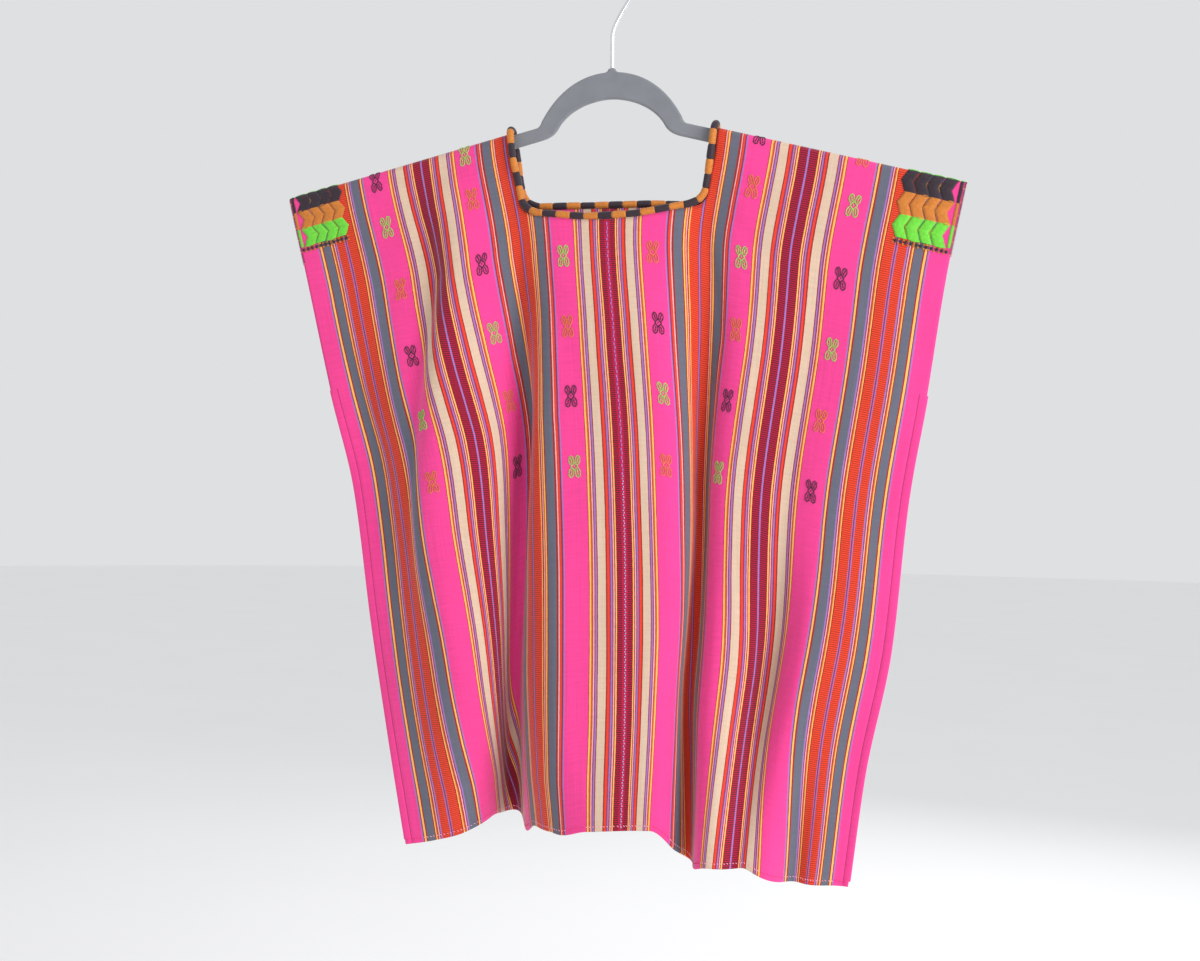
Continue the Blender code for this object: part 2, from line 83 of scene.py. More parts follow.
HANGER_HALF = 0.2225
HANGER_THICKNESS = 0.005
HANGER_EDGE = 0.0020
ARM_CLEARANCE = 0.0008
ARM_HALF_HEIGHT = 0.0056
CROWN_HALF_HEIGHT = 0.0112
HIP_HALF_HEIGHT = 0.0078
CROWN_RADIUS = 0.059
CROWN_Z = -0.1093
HIP_RADIUS = 0.016
BOSS_HALF_WIDTH = 0.0035
BOSS_HEIGHT = 0.003
WIRE_RADIUS = 0.00165
HOOK_RADIUS = 0.022
HOOK_BEND_Z = -0.0635
HOOK_BEND_REACH = 0.004
HOOK_LEAVE = math.radians(-34)
HOOK_END = math.radians(212)

FINE_ACROSS = np.linspace(-HALF_WIDTH, HALF_WIDTH, 569)
FINE_STEP = FINE_ACROSS[1] - FINE_ACROSS[0]
MIDDLE = len(FINE_ACROSS) // 2
HALVES = (slice(None, MIDDLE + 1), slice(MIDDLE, None))
FINE_DOWN = np.concatenate([np.linspace(0, 0.02, 21), np.linspace(0.0225, FRONT_LENGTH, 222)])

Hang = namedtuple("Hang", "down left_x seam_x right_x seam_y left_y right_y")
HANGS = (
    Hang(0.000, -0.281, 0.000, 0.285, 0.000, 0.000, 0.000),
    Hang(0.075, -0.2635, -0.001, 0.271, -0.002, 0.000, 0.000),
    Hang(0.172, -0.243, 0.007, 0.257, -0.007, 0.003, 0.003),
    Hang(0.260, -0.221, 0.015, 0.243, -0.009, 0.005, 0.004),
    Hang(0.380, -0.205, 0.020, 0.231, -0.009, 0.009, 0.006),
    Hang(0.480, -0.190, 0.021, 0.212, -0.009, 0.013, 0.009),
    Hang(0.575, -0.174, 0.019, 0.200, -0.009, 0.015, 0.012),
)

# A trough at `across`; angles in degrees, at the four LEVELS down the cloth.
Fold = namedtuple("Fold", "across reach_left reach_right fall rise")
LEVELS = (0.10, 0.30, 0.43, 0.575)
FOLDS = (
    Fold((-0.256, -0.256, -0.256, -0.250), (0.028, 0.028, 0.028, 0.028),
         (0.060, 0.040, 0.040, 0.040), (2, 30, 8, 2), (2, 32, 6, 12)),
    Fold((-0.168, -0.232, -0.242, -0.242), (0.022, 0.018, 0.018, 0.018),
         (0.034, 0.022, 0.020, 0.020), (14, 14, 0, 0), (46, 38, 4, 0)),
    Fold((-0.085, -0.106, -0.116, -0.165), (0.080, 0.110, 0.115, 0.100),
         (0.045, 0.040, 0.052, 0.150), (14, 60, 80, 66), (14, 80, 60, 54)),
    Fold((0.085, 0.088, 0.079, 0.072), (0.066, 0.054, 0.056, 0.044),
         (0.040, 0.044, 0.052, 0.095), (12, 72, 78, 50), (12, 60, 60, 66)),
    Fold((0.185, 0.178, 0.172, 0.162), (0.050, 0.050, 0.040, 0.036),
         (0.055, 0.055, 0.056, 0.040), (3, 8, 46, 30), (4, 16, 48, 24)),
    Fold((0.235, 0.230, 0.228, 0.224), (0.024, 0.024, 0.024, 0.036),
         (0.030, 0.030, 0.030, 0.034), (0, 4, 16, 40), (0, 4, 6, 38)),
    Fold((0.300, 0.296, 0.294, 0.290), (0.030, 0.030, 0.030, 0.030),
         (0.020, 0.020, 0.020, 0.020), (0, -6, -16, -24), (0, 0, 0, 0)),
)
FOLD_SHAPE = 0.42
FOLD_SMOOTHING = 0.005

Lift = namedtuple("Lift", "across height")
LIFTS = (Lift(-0.284, 0.013), Lift(-0.230, 0.008), Lift(-0.200, 0.000), Lift(-0.165, -0.017),
         Lift(-0.130, -0.014), Lift(-0.095, -0.005), Lift(-0.060, -0.010), Lift(-0.030, -0.003),
         Lift(0.030, 0.001), Lift(0.060, -0.018), Lift(0.080, -0.028), Lift(0.100, -0.024),
         Lift(0.136, -0.012), Lift(0.221, -0.004), Lift(0.284, 0.008))
# How much deeper the neck hole is cut at each place along its front edge.
Dip = namedtuple("Dip", "across depth")
DIPS = (Dip(-0.284, 0.0), Dip(-0.104, 0.0), Dip(-0.070, -0.002), Dip(-0.015, 0.002),
        Dip(0.020, 0.001), Dip(0.076, -0.0075), Dip(0.112, 0.0), Dip(0.284, 0.0))
DIP_FLAT = 0.010
DIP_FADE = 0.030
LIFT_POWER = 1.5
SIDE_REACH = 0.060
SPREAD_DEPTH = 0.10

# Small creases, each along a line on the cloth, in millimetres.
Crease = namedtuple("Crease", "across warp to_across to_warp width height")
CREASES = (
    Crease(-78, 80, -112, 215, 6, -1.2), Crease(-82, 60, -150, 120, 7, -0.7),
    Crease(-90, 20, -200, 60, 9, 0.6), Crease(-218, 70, -222, 200, 8, -0.8),
    Crease(-262, 105, -240, 240, 8, 1.0), Crease(-275, 185, -262, 330, 6, -0.8),
    Crease(-60, 110, -28, 230, 9, -0.7), Crease(-52, 300, -46, 520, 7, 0.8),
    Crease(-16, 240, -18, 500, 6, -0.5), Crease(18, 120, 20, 360, 7, 0.6),
    Crease(36, 400, 30, 570, 8, -0.7), Crease(83, 82, 108, 190, 6, -1.1),
    Crease(88, 55, 160, 110, 7, -0.6), Crease(135, 180, 128, 205, 5, 0.8),
    Crease(139, 214, 130, 228, 4, 0.7), Crease(136, 250, 128, 262, 4, 0.6),
    Crease(100, 20, 205, 70, 9, 0.6), Crease(225, 75, 232, 210, 8, -0.8),
    Crease(262, 110, 250, 240, 8, 0.9), Crease(270, 190, 262, 340, 6, -0.8),
    Crease(205, 300, 214, 470, 8, 0.9), Crease(120, 360, 118, 560, 6, 0.6),
    Crease(-210, 330, -196, 560, 8, 0.9), Crease(-170, 260, -160, 420, 6, -0.6),
)
# The back has the same creases, softer and moved over.
CreaseSide = namedtuple("CreaseSide", "sign share moved")
CREASE_SIDES = (CreaseSide(1, 1.0, 0), CreaseSide(-1, 0.8, 12))


def smooth_through(knots, values, at):
    """A curve through the knots that doesn't overshoot them (monotone cubic)."""
    knots, values = np.asarray(knots, float), np.asarray(values, float)
    at = np.clip(at, knots[0], knots[-1])
    step = np.diff(knots)
    rise = np.diff(values) / step
    slope = np.zeros_like(values)
    same = rise[:-1] * rise[1:] > 0
    slope[1:-1][same] = 2 * rise[:-1][same] * rise[1:][same] / (rise[:-1] + rise[1:])[same]
    slope[0], slope[-1] = rise[0], rise[-1]
    i = np.clip(np.searchsorted(knots, at, side="right") - 1, 0, len(step) - 1)
    t = (at - knots[i]) / step[i]
    return (values[i] * (1 + 2 * t) * (1 - t) ** 2 + values[i + 1] * t * t * (3 - 2 * t)
            + step[i] * (slope[i] * t * (1 - t) ** 2 - slope[i + 1] * t * t * (1 - t)))


def smooth_step(t):
    t = np.clip(t, 0.0, 1.0)
    return t * t * (3 - 2 * t)


def column_at(rows, name, at):
    """A column of a table, smooth from row to row; its first column says where each row is."""
    return smooth_through([row[0] for row in rows], [getattr(row, name) for row in rows], at)


def level_at(values, down):
    return float(smooth_through(LEVELS, values, down))


def turn_at(down):
    turn = np.zeros_like(FINE_ACROSS)
    for fold in FOLDS:
        offset = FINE_ACROSS - level_at(fold.across, down)
        for side, reach, angles in ((offset < 0, fold.reach_left, fold.fall),
                                    (offset >= 0, fold.reach_right, fold.rise)):
            t = np.clip(np.abs(offset[side]) / level_at(reach, down), 0, 1)
            steep = math.radians(level_at(angles, down)) * smooth_step(down / LEVELS[0])
            sign = 1 if side[0] else -1
            turn[side] += sign * steep * np.sin(math.pi * t**FOLD_SHAPE)
    spread = int(3 * FOLD_SMOOTHING / FINE_STEP)
    kernel = np.exp(-0.5 * (3 * np.arange(-spread, spread + 1) / spread) ** 2)
    padded = np.pad(turn, spread, mode="edge")
    return np.convolve(padded, kernel / kernel.sum(), mode="valid")


def run_out(pace):
    total = np.concatenate([[0], np.cumsum((pace[1:] + pace[:-1]) / 2 * FINE_STEP)])
    return total - total[MIDDLE]


def scaled_turn(turn, widths):
    """The turn of each half, scaled until the half is as wide as asked."""
    scaled = turn.copy()
    for half, width in zip(HALVES, widths):
        low, high = 0.0, 1.25
        for _ in range(30):
            factor = (low + high) / 2
            trial = np.zeros_like(turn)
            trial[half] = turn[half] * factor
            reach = np.ptp(run_out(np.cos(trial))[half])
            low, high = (factor, high) if reach > width else (low, factor)
        scaled[half] = turn[half] * factor
    return scaled


def fold_out(down):
    return FOLD_RADIUS * np.sin(np.minimum(down, QUARTER_FOLD) / FOLD_RADIUS)


def fold_drop(down):
    round_part = FOLD_RADIUS * (1 - np.cos(np.minimum(down, QUARTER_FOLD) / FOLD_RADIUS))
    return round_part + np.maximum(down - QUARTER_FOLD, 0)


def shoulder_z(x):
    return NECK_TOP_Z - SHOULDER_SLOPE * (np.maximum(np.abs(x), NECK_LEVEL_X) - NECK_TOP_X)


def neck_spread(down):
    fade = 1 - smooth_step(down / SPREAD_DEPTH)
    left = np.interp(FINE_ACROSS, (-HALF_WIDTH, NECK_LEFT, 0), (0, -NECK_SPREAD_LEFT, 0))
    right = np.interp(FINE_ACROSS, (0, NECK_RIGHT, HALF_WIDTH), (0, NECK_SPREAD_RIGHT, 0))
    return (left + right) * fade


def front_row(down):
    left, seam, right = (column_at(HANGS, name, down) for name in ("left_x", "seam_x", "right_x"))
    turn = scaled_turn(turn_at(down), (seam - left, right - seam))
    x, y = run_out(np.cos(turn)), run_out(np.sin(turn))
    x = seam + np.where(x < 0, x * (left - seam) / x[0], x * (right - seam) / x[-1])
    reach = np.clip((np.abs(FINE_ACROSS) - SIDE_REACH) / (HALF_WIDTH - SIDE_REACH), 0, 1)
    y = y + column_at(HANGS, "seam_y", down)
    y = y + reach * np.where(FINE_ACROSS < 0, column_at(HANGS, "left_y", down) - y[0],
                             column_at(HANGS, "right_y", down) - y[-1])
    near_edge = 1 - smooth_step((HALF_WIDTH - np.abs(FINE_ACROSS)) / SEAM_TAPER)
    closed = smooth_step(down / ARMHOLE) * near_edge
    y = y - fold_out(down) * (1 - closed) - (WALL + SEAM_GAP) / 2 * closed
    return x + neck_spread(down), y, turn


def back_row(down, x, y, turn):
    edge = 2 * fold_out(down) + (WALL + SEAM_GAP - 2 * fold_out(down)) * smooth_step(down / ARMHOLE)
    middle = 2 * fold_out(down) + (LAYER_GAP - 2 * FOLD_RADIUS) * smooth_step(down / NECK_FRONT)
    inward = smooth_step((HALF_WIDTH - np.abs(FINE_ACROSS)) / SEAM_TAPER)
    gap = edge + (middle - edge) * inward
    return x - gap * np.sin(turn), y + gap * np.cos(turn)


def lengths_along(x, y):
    return np.concatenate([[0], np.cumsum(np.hypot(np.diff(x), np.diff(y)))])


def spaced_like(front_x, front_y, back):
    moved = back.copy()
    for half in HALVES:
        wanted = lengths_along(front_x[half], front_y[half])
        length = lengths_along(back[half, 0], back[half, 1])
        at = wanted * length[-1] / wanted[-1]
        for axis in range(3):
            moved[half, axis] = np.interp(at, length, back[half, axis])
    return moved


def cloth_model():
    """Points [front, back][row down][place across], as the CAD has them."""
    rows = [front_row(down) for down in FINE_DOWN]
    front = np.array([np.stack([x, y, np.zeros_like(x)], axis=1) for x, y, _ in rows])
    steps = np.diff(FINE_DOWN)[:, None]
    drift = np.hypot(*(np.diff(front[:, :, axis], axis=0) / steps for axis in (0, 1)))
    drift[FINE_DOWN[:-1] < NECK_FRONT / 4] = 0.0
    fall = steps * np.sqrt(np.clip(1 - drift**2, 0.3, 1))
    fallen = np.concatenate([np.zeros((1, len(FINE_ACROSS))), np.cumsum(fall, axis=0)])
    flat = fold_drop(FINE_DOWN)[:, None] - FINE_DOWN[:, None]
    share = ((FINE_DOWN / FRONT_LENGTH) ** LIFT_POWER)[:, None]
    lifted = column_at(LIFTS, "height", FINE_ACROSS) * share
    front[:, :, 2] = shoulder_z(front[0, :, 0]) - fallen - flat + lifted
    back = np.empty_like(front)
    for i, (x, y, turn) in enumerate(rows):
        bx, by = back_row(FINE_DOWN[i], x, y, turn)
        back[i] = spaced_like(x, y, np.stack([bx, by, front[i, :, 2]], axis=1))
    return np.stack([front, back])


MODEL = cloth_model()


def model_points(across, warp):
    across, warp = np.broadcast_arrays(np.asarray(across, float), np.asarray(warp, float))
    down = np.abs(warp)
    i = np.clip(np.searchsorted(FINE_DOWN, down) - 1, 0, len(FINE_DOWN) - 2)
    u = ((down - FINE_DOWN[i]) / (FINE_DOWN[i + 1] - FINE_DOWN[i]))[..., None]
    column = (across + HALF_WIDTH) / FINE_STEP
    j = np.clip(column.astype(int), 0, len(FINE_ACROSS) - 2)
    v = (column - j)[..., None]
    layer = (warp < 0).astype(int)
    near = MODEL[layer, i, j] * (1 - v) + MODEL[layer, i, j + 1] * v
    far = MODEL[layer, i + 1, j] * (1 - v) + MODEL[layer, i + 1, j + 1] * v
    return near * (1 - u) + far * u


def dipped(across, warp):
    """Places of the grid moved down the cloth with the front edge of the neck hole."""
    depth = column_at(DIPS, "depth", across)
    away = (np.abs(warp - NECK_FRONT) - DIP_FLAT) / DIP_FADE
    return across, warp + depth * (1 - smooth_step(away))


def eased(across, warp):
    """Places of the grid moved so that the corners of the neck hole are round."""
    side, end = np.where(across > 0, 1, -1), np.where(warp > 0, 1, -1)
    centre_a = np.where(side > 0, NECK_RIGHT, NECK_LEFT) - side * NECK_CORNER
    centre_w = np.where(end > 0, NECK_FRONT, -NECK_BACK) - end * NECK_CORNER
    a, w = side * (across - centre_a), end * (warp - centre_w)
    square = np.maximum(a, w)
    fade = 1 - smooth_step((square - NECK_CORNER) / CORNER_FADE)
    scale = 1 + (square / np.maximum(np.hypot(a, w), 1e-9) - 1) * fade
    corner = np.minimum(a, w) > 0
    return dipped(np.where(corner, centre_a + side * a * scale, across),
                  np.where(corner, centre_w + end * w * scale, warp))


def unit(vectors):
    return vectors / np.linalg.norm(vectors, axis=-1, keepdims=True)


def normals(across, warp):
    """Unit normals that point out of the garment."""
    d = 0.0012
    a = np.clip(across, -HALF_WIDTH + d, HALF_WIDTH - d)
    along = model_points(a + d, warp) - model_points(a - d, warp)
    down = model_points(a, warp + d) - model_points(a, warp - d)
    return unit(np.cross(down, along))


def creased(across, warp):
    """How far the small creases stand out."""
    total = np.zeros(np.broadcast(across, warp).shape)
    for crease in CREASES:
        for sign, share, moved in CREASE_SIDES:
            x, y = (crease.across + moved) / 1000, sign * crease.warp / 1000
            run_x = (crease.to_across - crease.across) / 1000
            run_y = sign * (crease.to_warp - crease.warp) / 1000
            t = ((across - x) * run_x + (warp - y) * run_y) / (run_x**2 + run_y**2)
            near = np.clip(t, 0, 1)
            off = np.hypot(across - x - near * run_x, warp - y - near * run_y) / crease.width
            ends = smooth_step(4 * near) * smooth_step(4 * (1 - near)) * 0.8 + 0.2
            total = total + share * crease.height / 1000 * ends * np.exp(-((off * 1000) ** 2))
    return total


SEAM_LINE = 0.2778
SEAM_LINE_HALF = 0.0009
SEAM_LINE_DEPTH = 0.0006


def seam_groove(across, warp):
    near = np.exp(-(((np.abs(across) - SEAM_LINE) / SEAM_LINE_HALF) ** 2))
    return -SEAM_LINE_DEPTH * near * smooth_step((warp - ARMHOLE) / 0.02)


def place(across, warp, out=0.0):
    """(points, normals) of the cloth's middle surface, moved `out` along the normal."""
    normal = normals(across, warp)
    out = np.asarray(out) + creased(across, warp) + seam_groove(across, warp)
    return model_points(across, warp) + normal * out[..., None], normal


# ---------------------------------------------------------------- meshes
def link(name, data):
    obj = bpy.data.objects.new(name, data)
    bpy.context.scene.collection.objects.link(obj)
    return obj


def make_object(name, vertices, faces, materials, slots=None, smooth=True):
    mesh = bpy.data.meshes.new(name)
    mesh.from_pydata(np.asarray(vertices).tolist(), [], faces)
    for made in materials:
        mesh.materials.append(made)
    if slots is not None:
        mesh.polygons.foreach_set("material_index", np.asarray(slots, np.int32))
    mesh.polygons.foreach_set("use_smooth", np.full(len(mesh.polygons), smooth))
    mesh.update()
    return link(name, mesh)


# A thread: how far its middle lies above the cloth, its size across and up, how far it swells
# up halfway and how many sides it has.
Yarn = namedtuple("Yarn", "lift width height bulge sides")
SEAM_RIDGE = Yarn(-0.0001, 0.0022, 0.0006, 0.0, 8)
SEAM_STITCH = Yarn(0.0002, 0.0009, 0.0006, 0.00015, 6)
HEM_STITCH = Yarn(0.00005, 0.0006, 0.0005, 0.0002, 5)
FIGURE_FLOAT = Yarn(0.00015, 0.00084, 0.0007, 0.00012, 5)
SATIN_STITCH = Yarn(0.0003, 0.00098, 0.00078, 0.0005, 6)
BAR_STITCH = Yarn(0.0002, 0.00092, 0.0007, 0.0003, 6)
KNOT_STITCH = Yarn(0.0005, 0.0012, 0.0012, 0.0004, 6)
SPUR_STITCH = Yarn(0.0002, 0.0009, 0.0008, 0.0003, 6)
OVERCAST_STITCH = Yarn(0.00015, 0.0007, 0.0005, 0.0, 5)
YARN_TIP = 0.45


class Strands:
    """Many short threads, joined in one mesh."""

    def __init__(self):
        self.vertices, self.faces, self.slots, self.count = [], [], [], 0

    def add(self, across, warp, yarn, slot=0):
        """One thread on the cloth along each row of places."""
        t = np.linspace(0, 1, across.shape[1])[None, :]
        rise = SHELL / 2 + yarn.lift + yarn.bulge * np.sin(math.pi * t)
        self.add_along(*place(across, warp, np.broadcast_to(rise, across.shape)), yarn, slot)

    def add_along(self, points, normal, yarn, slot):
        """One thread along each row of points; the normals say which way is up."""
        n, m = points.shape[:2]
        along = unit(np.gradient(points, axis=1))
        beside = unit(np.cross(along, normal))
        up = np.cross(beside, along)
        taper = np.ones(m)
        taper[0] = taper[-1] = YARN_TIP
        angle = (2 * math.pi * np.arange(yarn.sides) / yarn.sides)[:, None]
        ring = (beside[:, :, None] * (yarn.width / 2 * np.cos(angle))
                + up[:, :, None] * (yarn.height / 2 * np.sin(angle)))
        made = points[:, :, None] + ring * taper[:, None, None]
        self.vertices.append(made.reshape(-1, 3))
        index = self.count + np.arange(n * m * yarn.sides).reshape(n, m, yarn.sides)
        here, ahead = index[:, :-1], index[:, 1:]
        quads = np.stack([here, ahead, np.roll(ahead, -1, axis=2), np.roll(here, -1, axis=2)], -1)
        quads = quads.reshape(-1, 4).tolist()
        self.faces += quads + index[:, 0].tolist() + index[:, -1, ::-1].tolist()
        self.slots += [slot] * (len(quads) + 2 * n)
        self.count += index.size

    def build(self, name, materials):
        return make_object(name, np.concatenate(self.vertices), self.faces, materials, self.slots)


# ---------------------------------------------------------------- materials
def linear(red, green, blue):
    """A colour given as on screen, 0 to 255, as linear light."""
    return tuple(c / 12.92 if c <= 0.04045 else ((c + 0.055) / 1.055) ** 2.4
                 for c in (red / 255, green / 255, blue / 255))


class Graph:
    """A material and short ways to add nodes to it."""

    def __init__(self, name, roughness, specular=0.3, sheen=0.0, metallic=0.0):
        self.material = bpy.data.materials.new(name)
        self.material.use_nodes = True
        self.tree = self.material.node_tree
        self.shader = self.tree.nodes["Principled BSDF"]
        self.shader.inputs["Roughness"].default_value = roughness
        self.shader.inputs["Specular IOR Level"].default_value = specular
        self.shader.inputs["Sheen Weight"].default_value = sheen
        self.shader.inputs["Sheen Roughness"].default_value = 0.45
        self.shader.inputs["Metallic"].default_value = metallic

    def node(self, kind, settings=None, **inputs):
        made = self.tree.nodes.new("ShaderNode" + kind)
        for key, value in (settings or {}).items():
            setattr(made, key, value)
        for key, value in inputs.items():
            self.put(made.inputs[key.replace("_", " ")], value)
        return made

    def put(self, socket, value):
        if isinstance(value, bpy.types.NodeSocket):
            self.tree.links.new(value, socket)
        elif isinstance(value, tuple) and len(value) == 3 and socket.type == "RGBA":
            socket.default_value = (*value, 1)
        else:
            socket.default_value = value

    def calc(self, operation, *values):
        made = self.tree.nodes.new("ShaderNodeMath")
        made.operation = operation
        for socket, value in zip(made.inputs, values):
            self.put(socket, value)
        return made.outputs[0]

    def times(self, a, b):
        return self.calc("MULTIPLY", a, b)

    def mix(self, factor, a, b, blend="MIX"):
        made = self.tree.nodes.new("ShaderNodeMix")
        made.data_type, made.blend_type = "RGBA", blend
        self.put(made.inputs[0], factor)
        self.put(made.inputs[6], a)
        self.put(made.inputs[7], b)
        return made.outputs[2]

    def noise(self, vector, scale, detail=2.0):
        return self.node("TexNoise", Vector=vector, Scale=scale, Detail=detail).outputs[0]

    def spread(self, value, low, high):
        """value, from 0 to 1, as low to high."""
        return self.calc("MULTIPLY_ADD", value, high - low, low)

    def varied(self, where, scale, detail, low, high):
        return self.spread(self.noise(where, scale, detail), low, high)

    def here(self):
        return self.node("TexCoord").outputs["Object"]

    def tint(self, colour, tone):
        """Gives the surface this colour, times tone."""
        scaled = self.node("VectorMath", {"operation": "SCALE"}, Scale=tone)
        self.put(scaled.inputs[0], colour)
        self.put(self.shader.inputs["Base Color"], scaled.outputs[0])

    def bump(self, height, strength, distance):
        made = self.node("Bump", Height=height, Strength=strength, Distance=distance)
        self.put(self.shader.inputs["Normal"], made.outputs[0])


PINK = linear(232, 64, 140)
DARK_RED = linear(168, 28, 54)
YELLOW = linear(240, 178, 92)
BROWN = linear(150, 40, 40)
WHITE_PINK = linear(228, 164, 164)
PURPLE = linear(138, 46, 78)
LAVENDER = linear(150, 112, 178)
RED_ORANGE = linear(224, 60, 40)
BEIGE = linear(208, 180, 156)
RUST = linear(200, 92, 36)
GREY = linear(96, 98, 112)
ORANGE_RED = linear(228, 68, 38)
SEAM_RED = linear(192, 26, 68)

# The stripes from the centre seam out to the sleeve end: width in millimetres, colour and how
# plain it is, from 0, with strong ribs along the weft, to 1.
Stripe = namedtuple("Stripe", "width colour plain", defaults=(1.0,))


def stripes_of(*pairs):
    return [Stripe(width, colour) for width, colour in pairs]


BESIDE_DARK = stripes_of((1.2, YELLOW), (0.9, BROWN), (0.9, WHITE_PINK), (0.8, BROWN),
                         (1.3, LAVENDER), (1.0, PURPLE), (2.0, RED_ORANGE), (1.0, BROWN))
BESIDE_BEIGE = stripes_of((0.8, BROWN), (1.3, LAVENDER), (1.0, PURPLE), (0.9, WHITE_PINK),
                          (0.6, BROWN), (1.0, RUST), (1.3, YELLOW), (0.6, BROWN))
BY_PINK = stripes_of((1.2, LAVENDER), (1.1, PURPLE), (1.6, RED_ORANGE), (0.5, BROWN),
                     (1.0, WHITE_PINK), (1.5, BROWN))
BY_ORANGE = stripes_of((1.0, BROWN), (1.2, YELLOW), (1.0, RUST), (0.9, WHITE_PINK),
                       (0.9, BROWN), (0.9, YELLOW), (0.9, RED_ORANGE))
OUTER_ORANGE = stripes_of((0.8, BROWN), (1.1, YELLOW), (0.9, RUST), (0.8, BROWN),
                          (0.9, WHITE_PINK), (0.9, PURPLE), (1.1, LAVENDER))
OUTER_PINK = stripes_of((1.2, LAVENDER), (0.9, PURPLE), (1.6, YELLOW), (1.2, BROWN))
STRIPES = (
    [Stripe(2.4, SEAM_RED, 0.6), Stripe(4.3, DARK_RED, 0.0)] + BESIDE_DARK
    + [Stripe(6.7, BEIGE)] + BESIDE_BEIGE + [Stripe(20.0, PINK)] + BY_PINK
    + [Stripe(7.3, GREY)] + BY_ORANGE + [Stripe(7.1, ORANGE_RED, 0.36)]
    + stripes_of((0.8, PURPLE), (1.1, LAVENDER), (0.8, PURPLE))
    + [Stripe(7.1, ORANGE_RED, 0.36)] + BY_ORANGE[4::-1]
    + [Stripe(7.2, GREY)] + BY_PINK[::-1] + [Stripe(18.9, PINK)] + BESIDE_BEIGE[::-1]
    + [Stripe(7.3, BEIGE)] + BESIDE_DARK[::-1]
    + [Stripe(7.0, DARK_RED, 0.0), Stripe(1.3, LAVENDER), Stripe(7.2, DARK_RED, 0.0)]
    + BESIDE_DARK + [Stripe(7.6, BEIGE)] + BESIDE_BEIGE + [Stripe(23.0, PINK)] + OUTER_PINK
    + [Stripe(7.5, GREY)] + OUTER_ORANGE[::-1] + [Stripe(7.8, ORANGE_RED, 0.3)]
    + stripes_of((0.8, LAVENDER), (1.2, PURPLE), (0.8, LAVENDER))
    + [Stripe(7.3, ORANGE_RED, 0.3)] + OUTER_ORANGE[::-1] + [Stripe(6.8, GREY)]
    + OUTER_PINK[::-1] + [Stripe(24.0, PINK)]
)
STRIPE_STARTS = np.cumsum([0] + [stripe.width for stripe in STRIPES]) / 1000
RIB_SHADE = (0.34, 0.26, 0.62)
RIB_PITCH = 0.0017
WEFT_PITCH = 0.0009
YARN_PITCH = 0.00045
MOST_STOPS = 31


def striped_colour(graph, along):
    """(colour, plainness) at a distance from the centre seam, from ramps of at most 31 stops."""
    starts = STRIPE_STARTS.tolist()
    colour = plain = None
    for first in range(0, len(STRIPES), MOST_STOPS):
        part = STRIPES[first:first + MOST_STOPS]
        low, high = starts[first], starts[first + len(part)]
        factor = graph.node("MapRange", Value=along, From_Min=low, From_Max=high).outputs[0]
        ramp = graph.node("ValToRGB", Fac=factor)
        stops = ramp.color_ramp
        stops.interpolation = "CONSTANT"
        stops.elements.remove(stops.elements[1])
        for k, stripe in enumerate(part):
            at = (starts[first + k] - low) / (high - low)
            stop = stops.elements[0] if k == 0 else stops.elements.new(at)
            stop.position = at
            stop.color = (*stripe.colour, stripe.plain)
        if colour is None:
            colour, plain = ramp.outputs[0], ramp.outputs[1]
            continue
        past = graph.calc("GREATER_THAN", along, low)
        colour = graph.mix(past, colour, ramp.outputs[0])
        kept = graph.times(plain, graph.calc("SUBTRACT", 1.0, past))
        plain = graph.calc("MULTIPLY_ADD", past, ramp.outputs[1], kept)
    return colour, plain


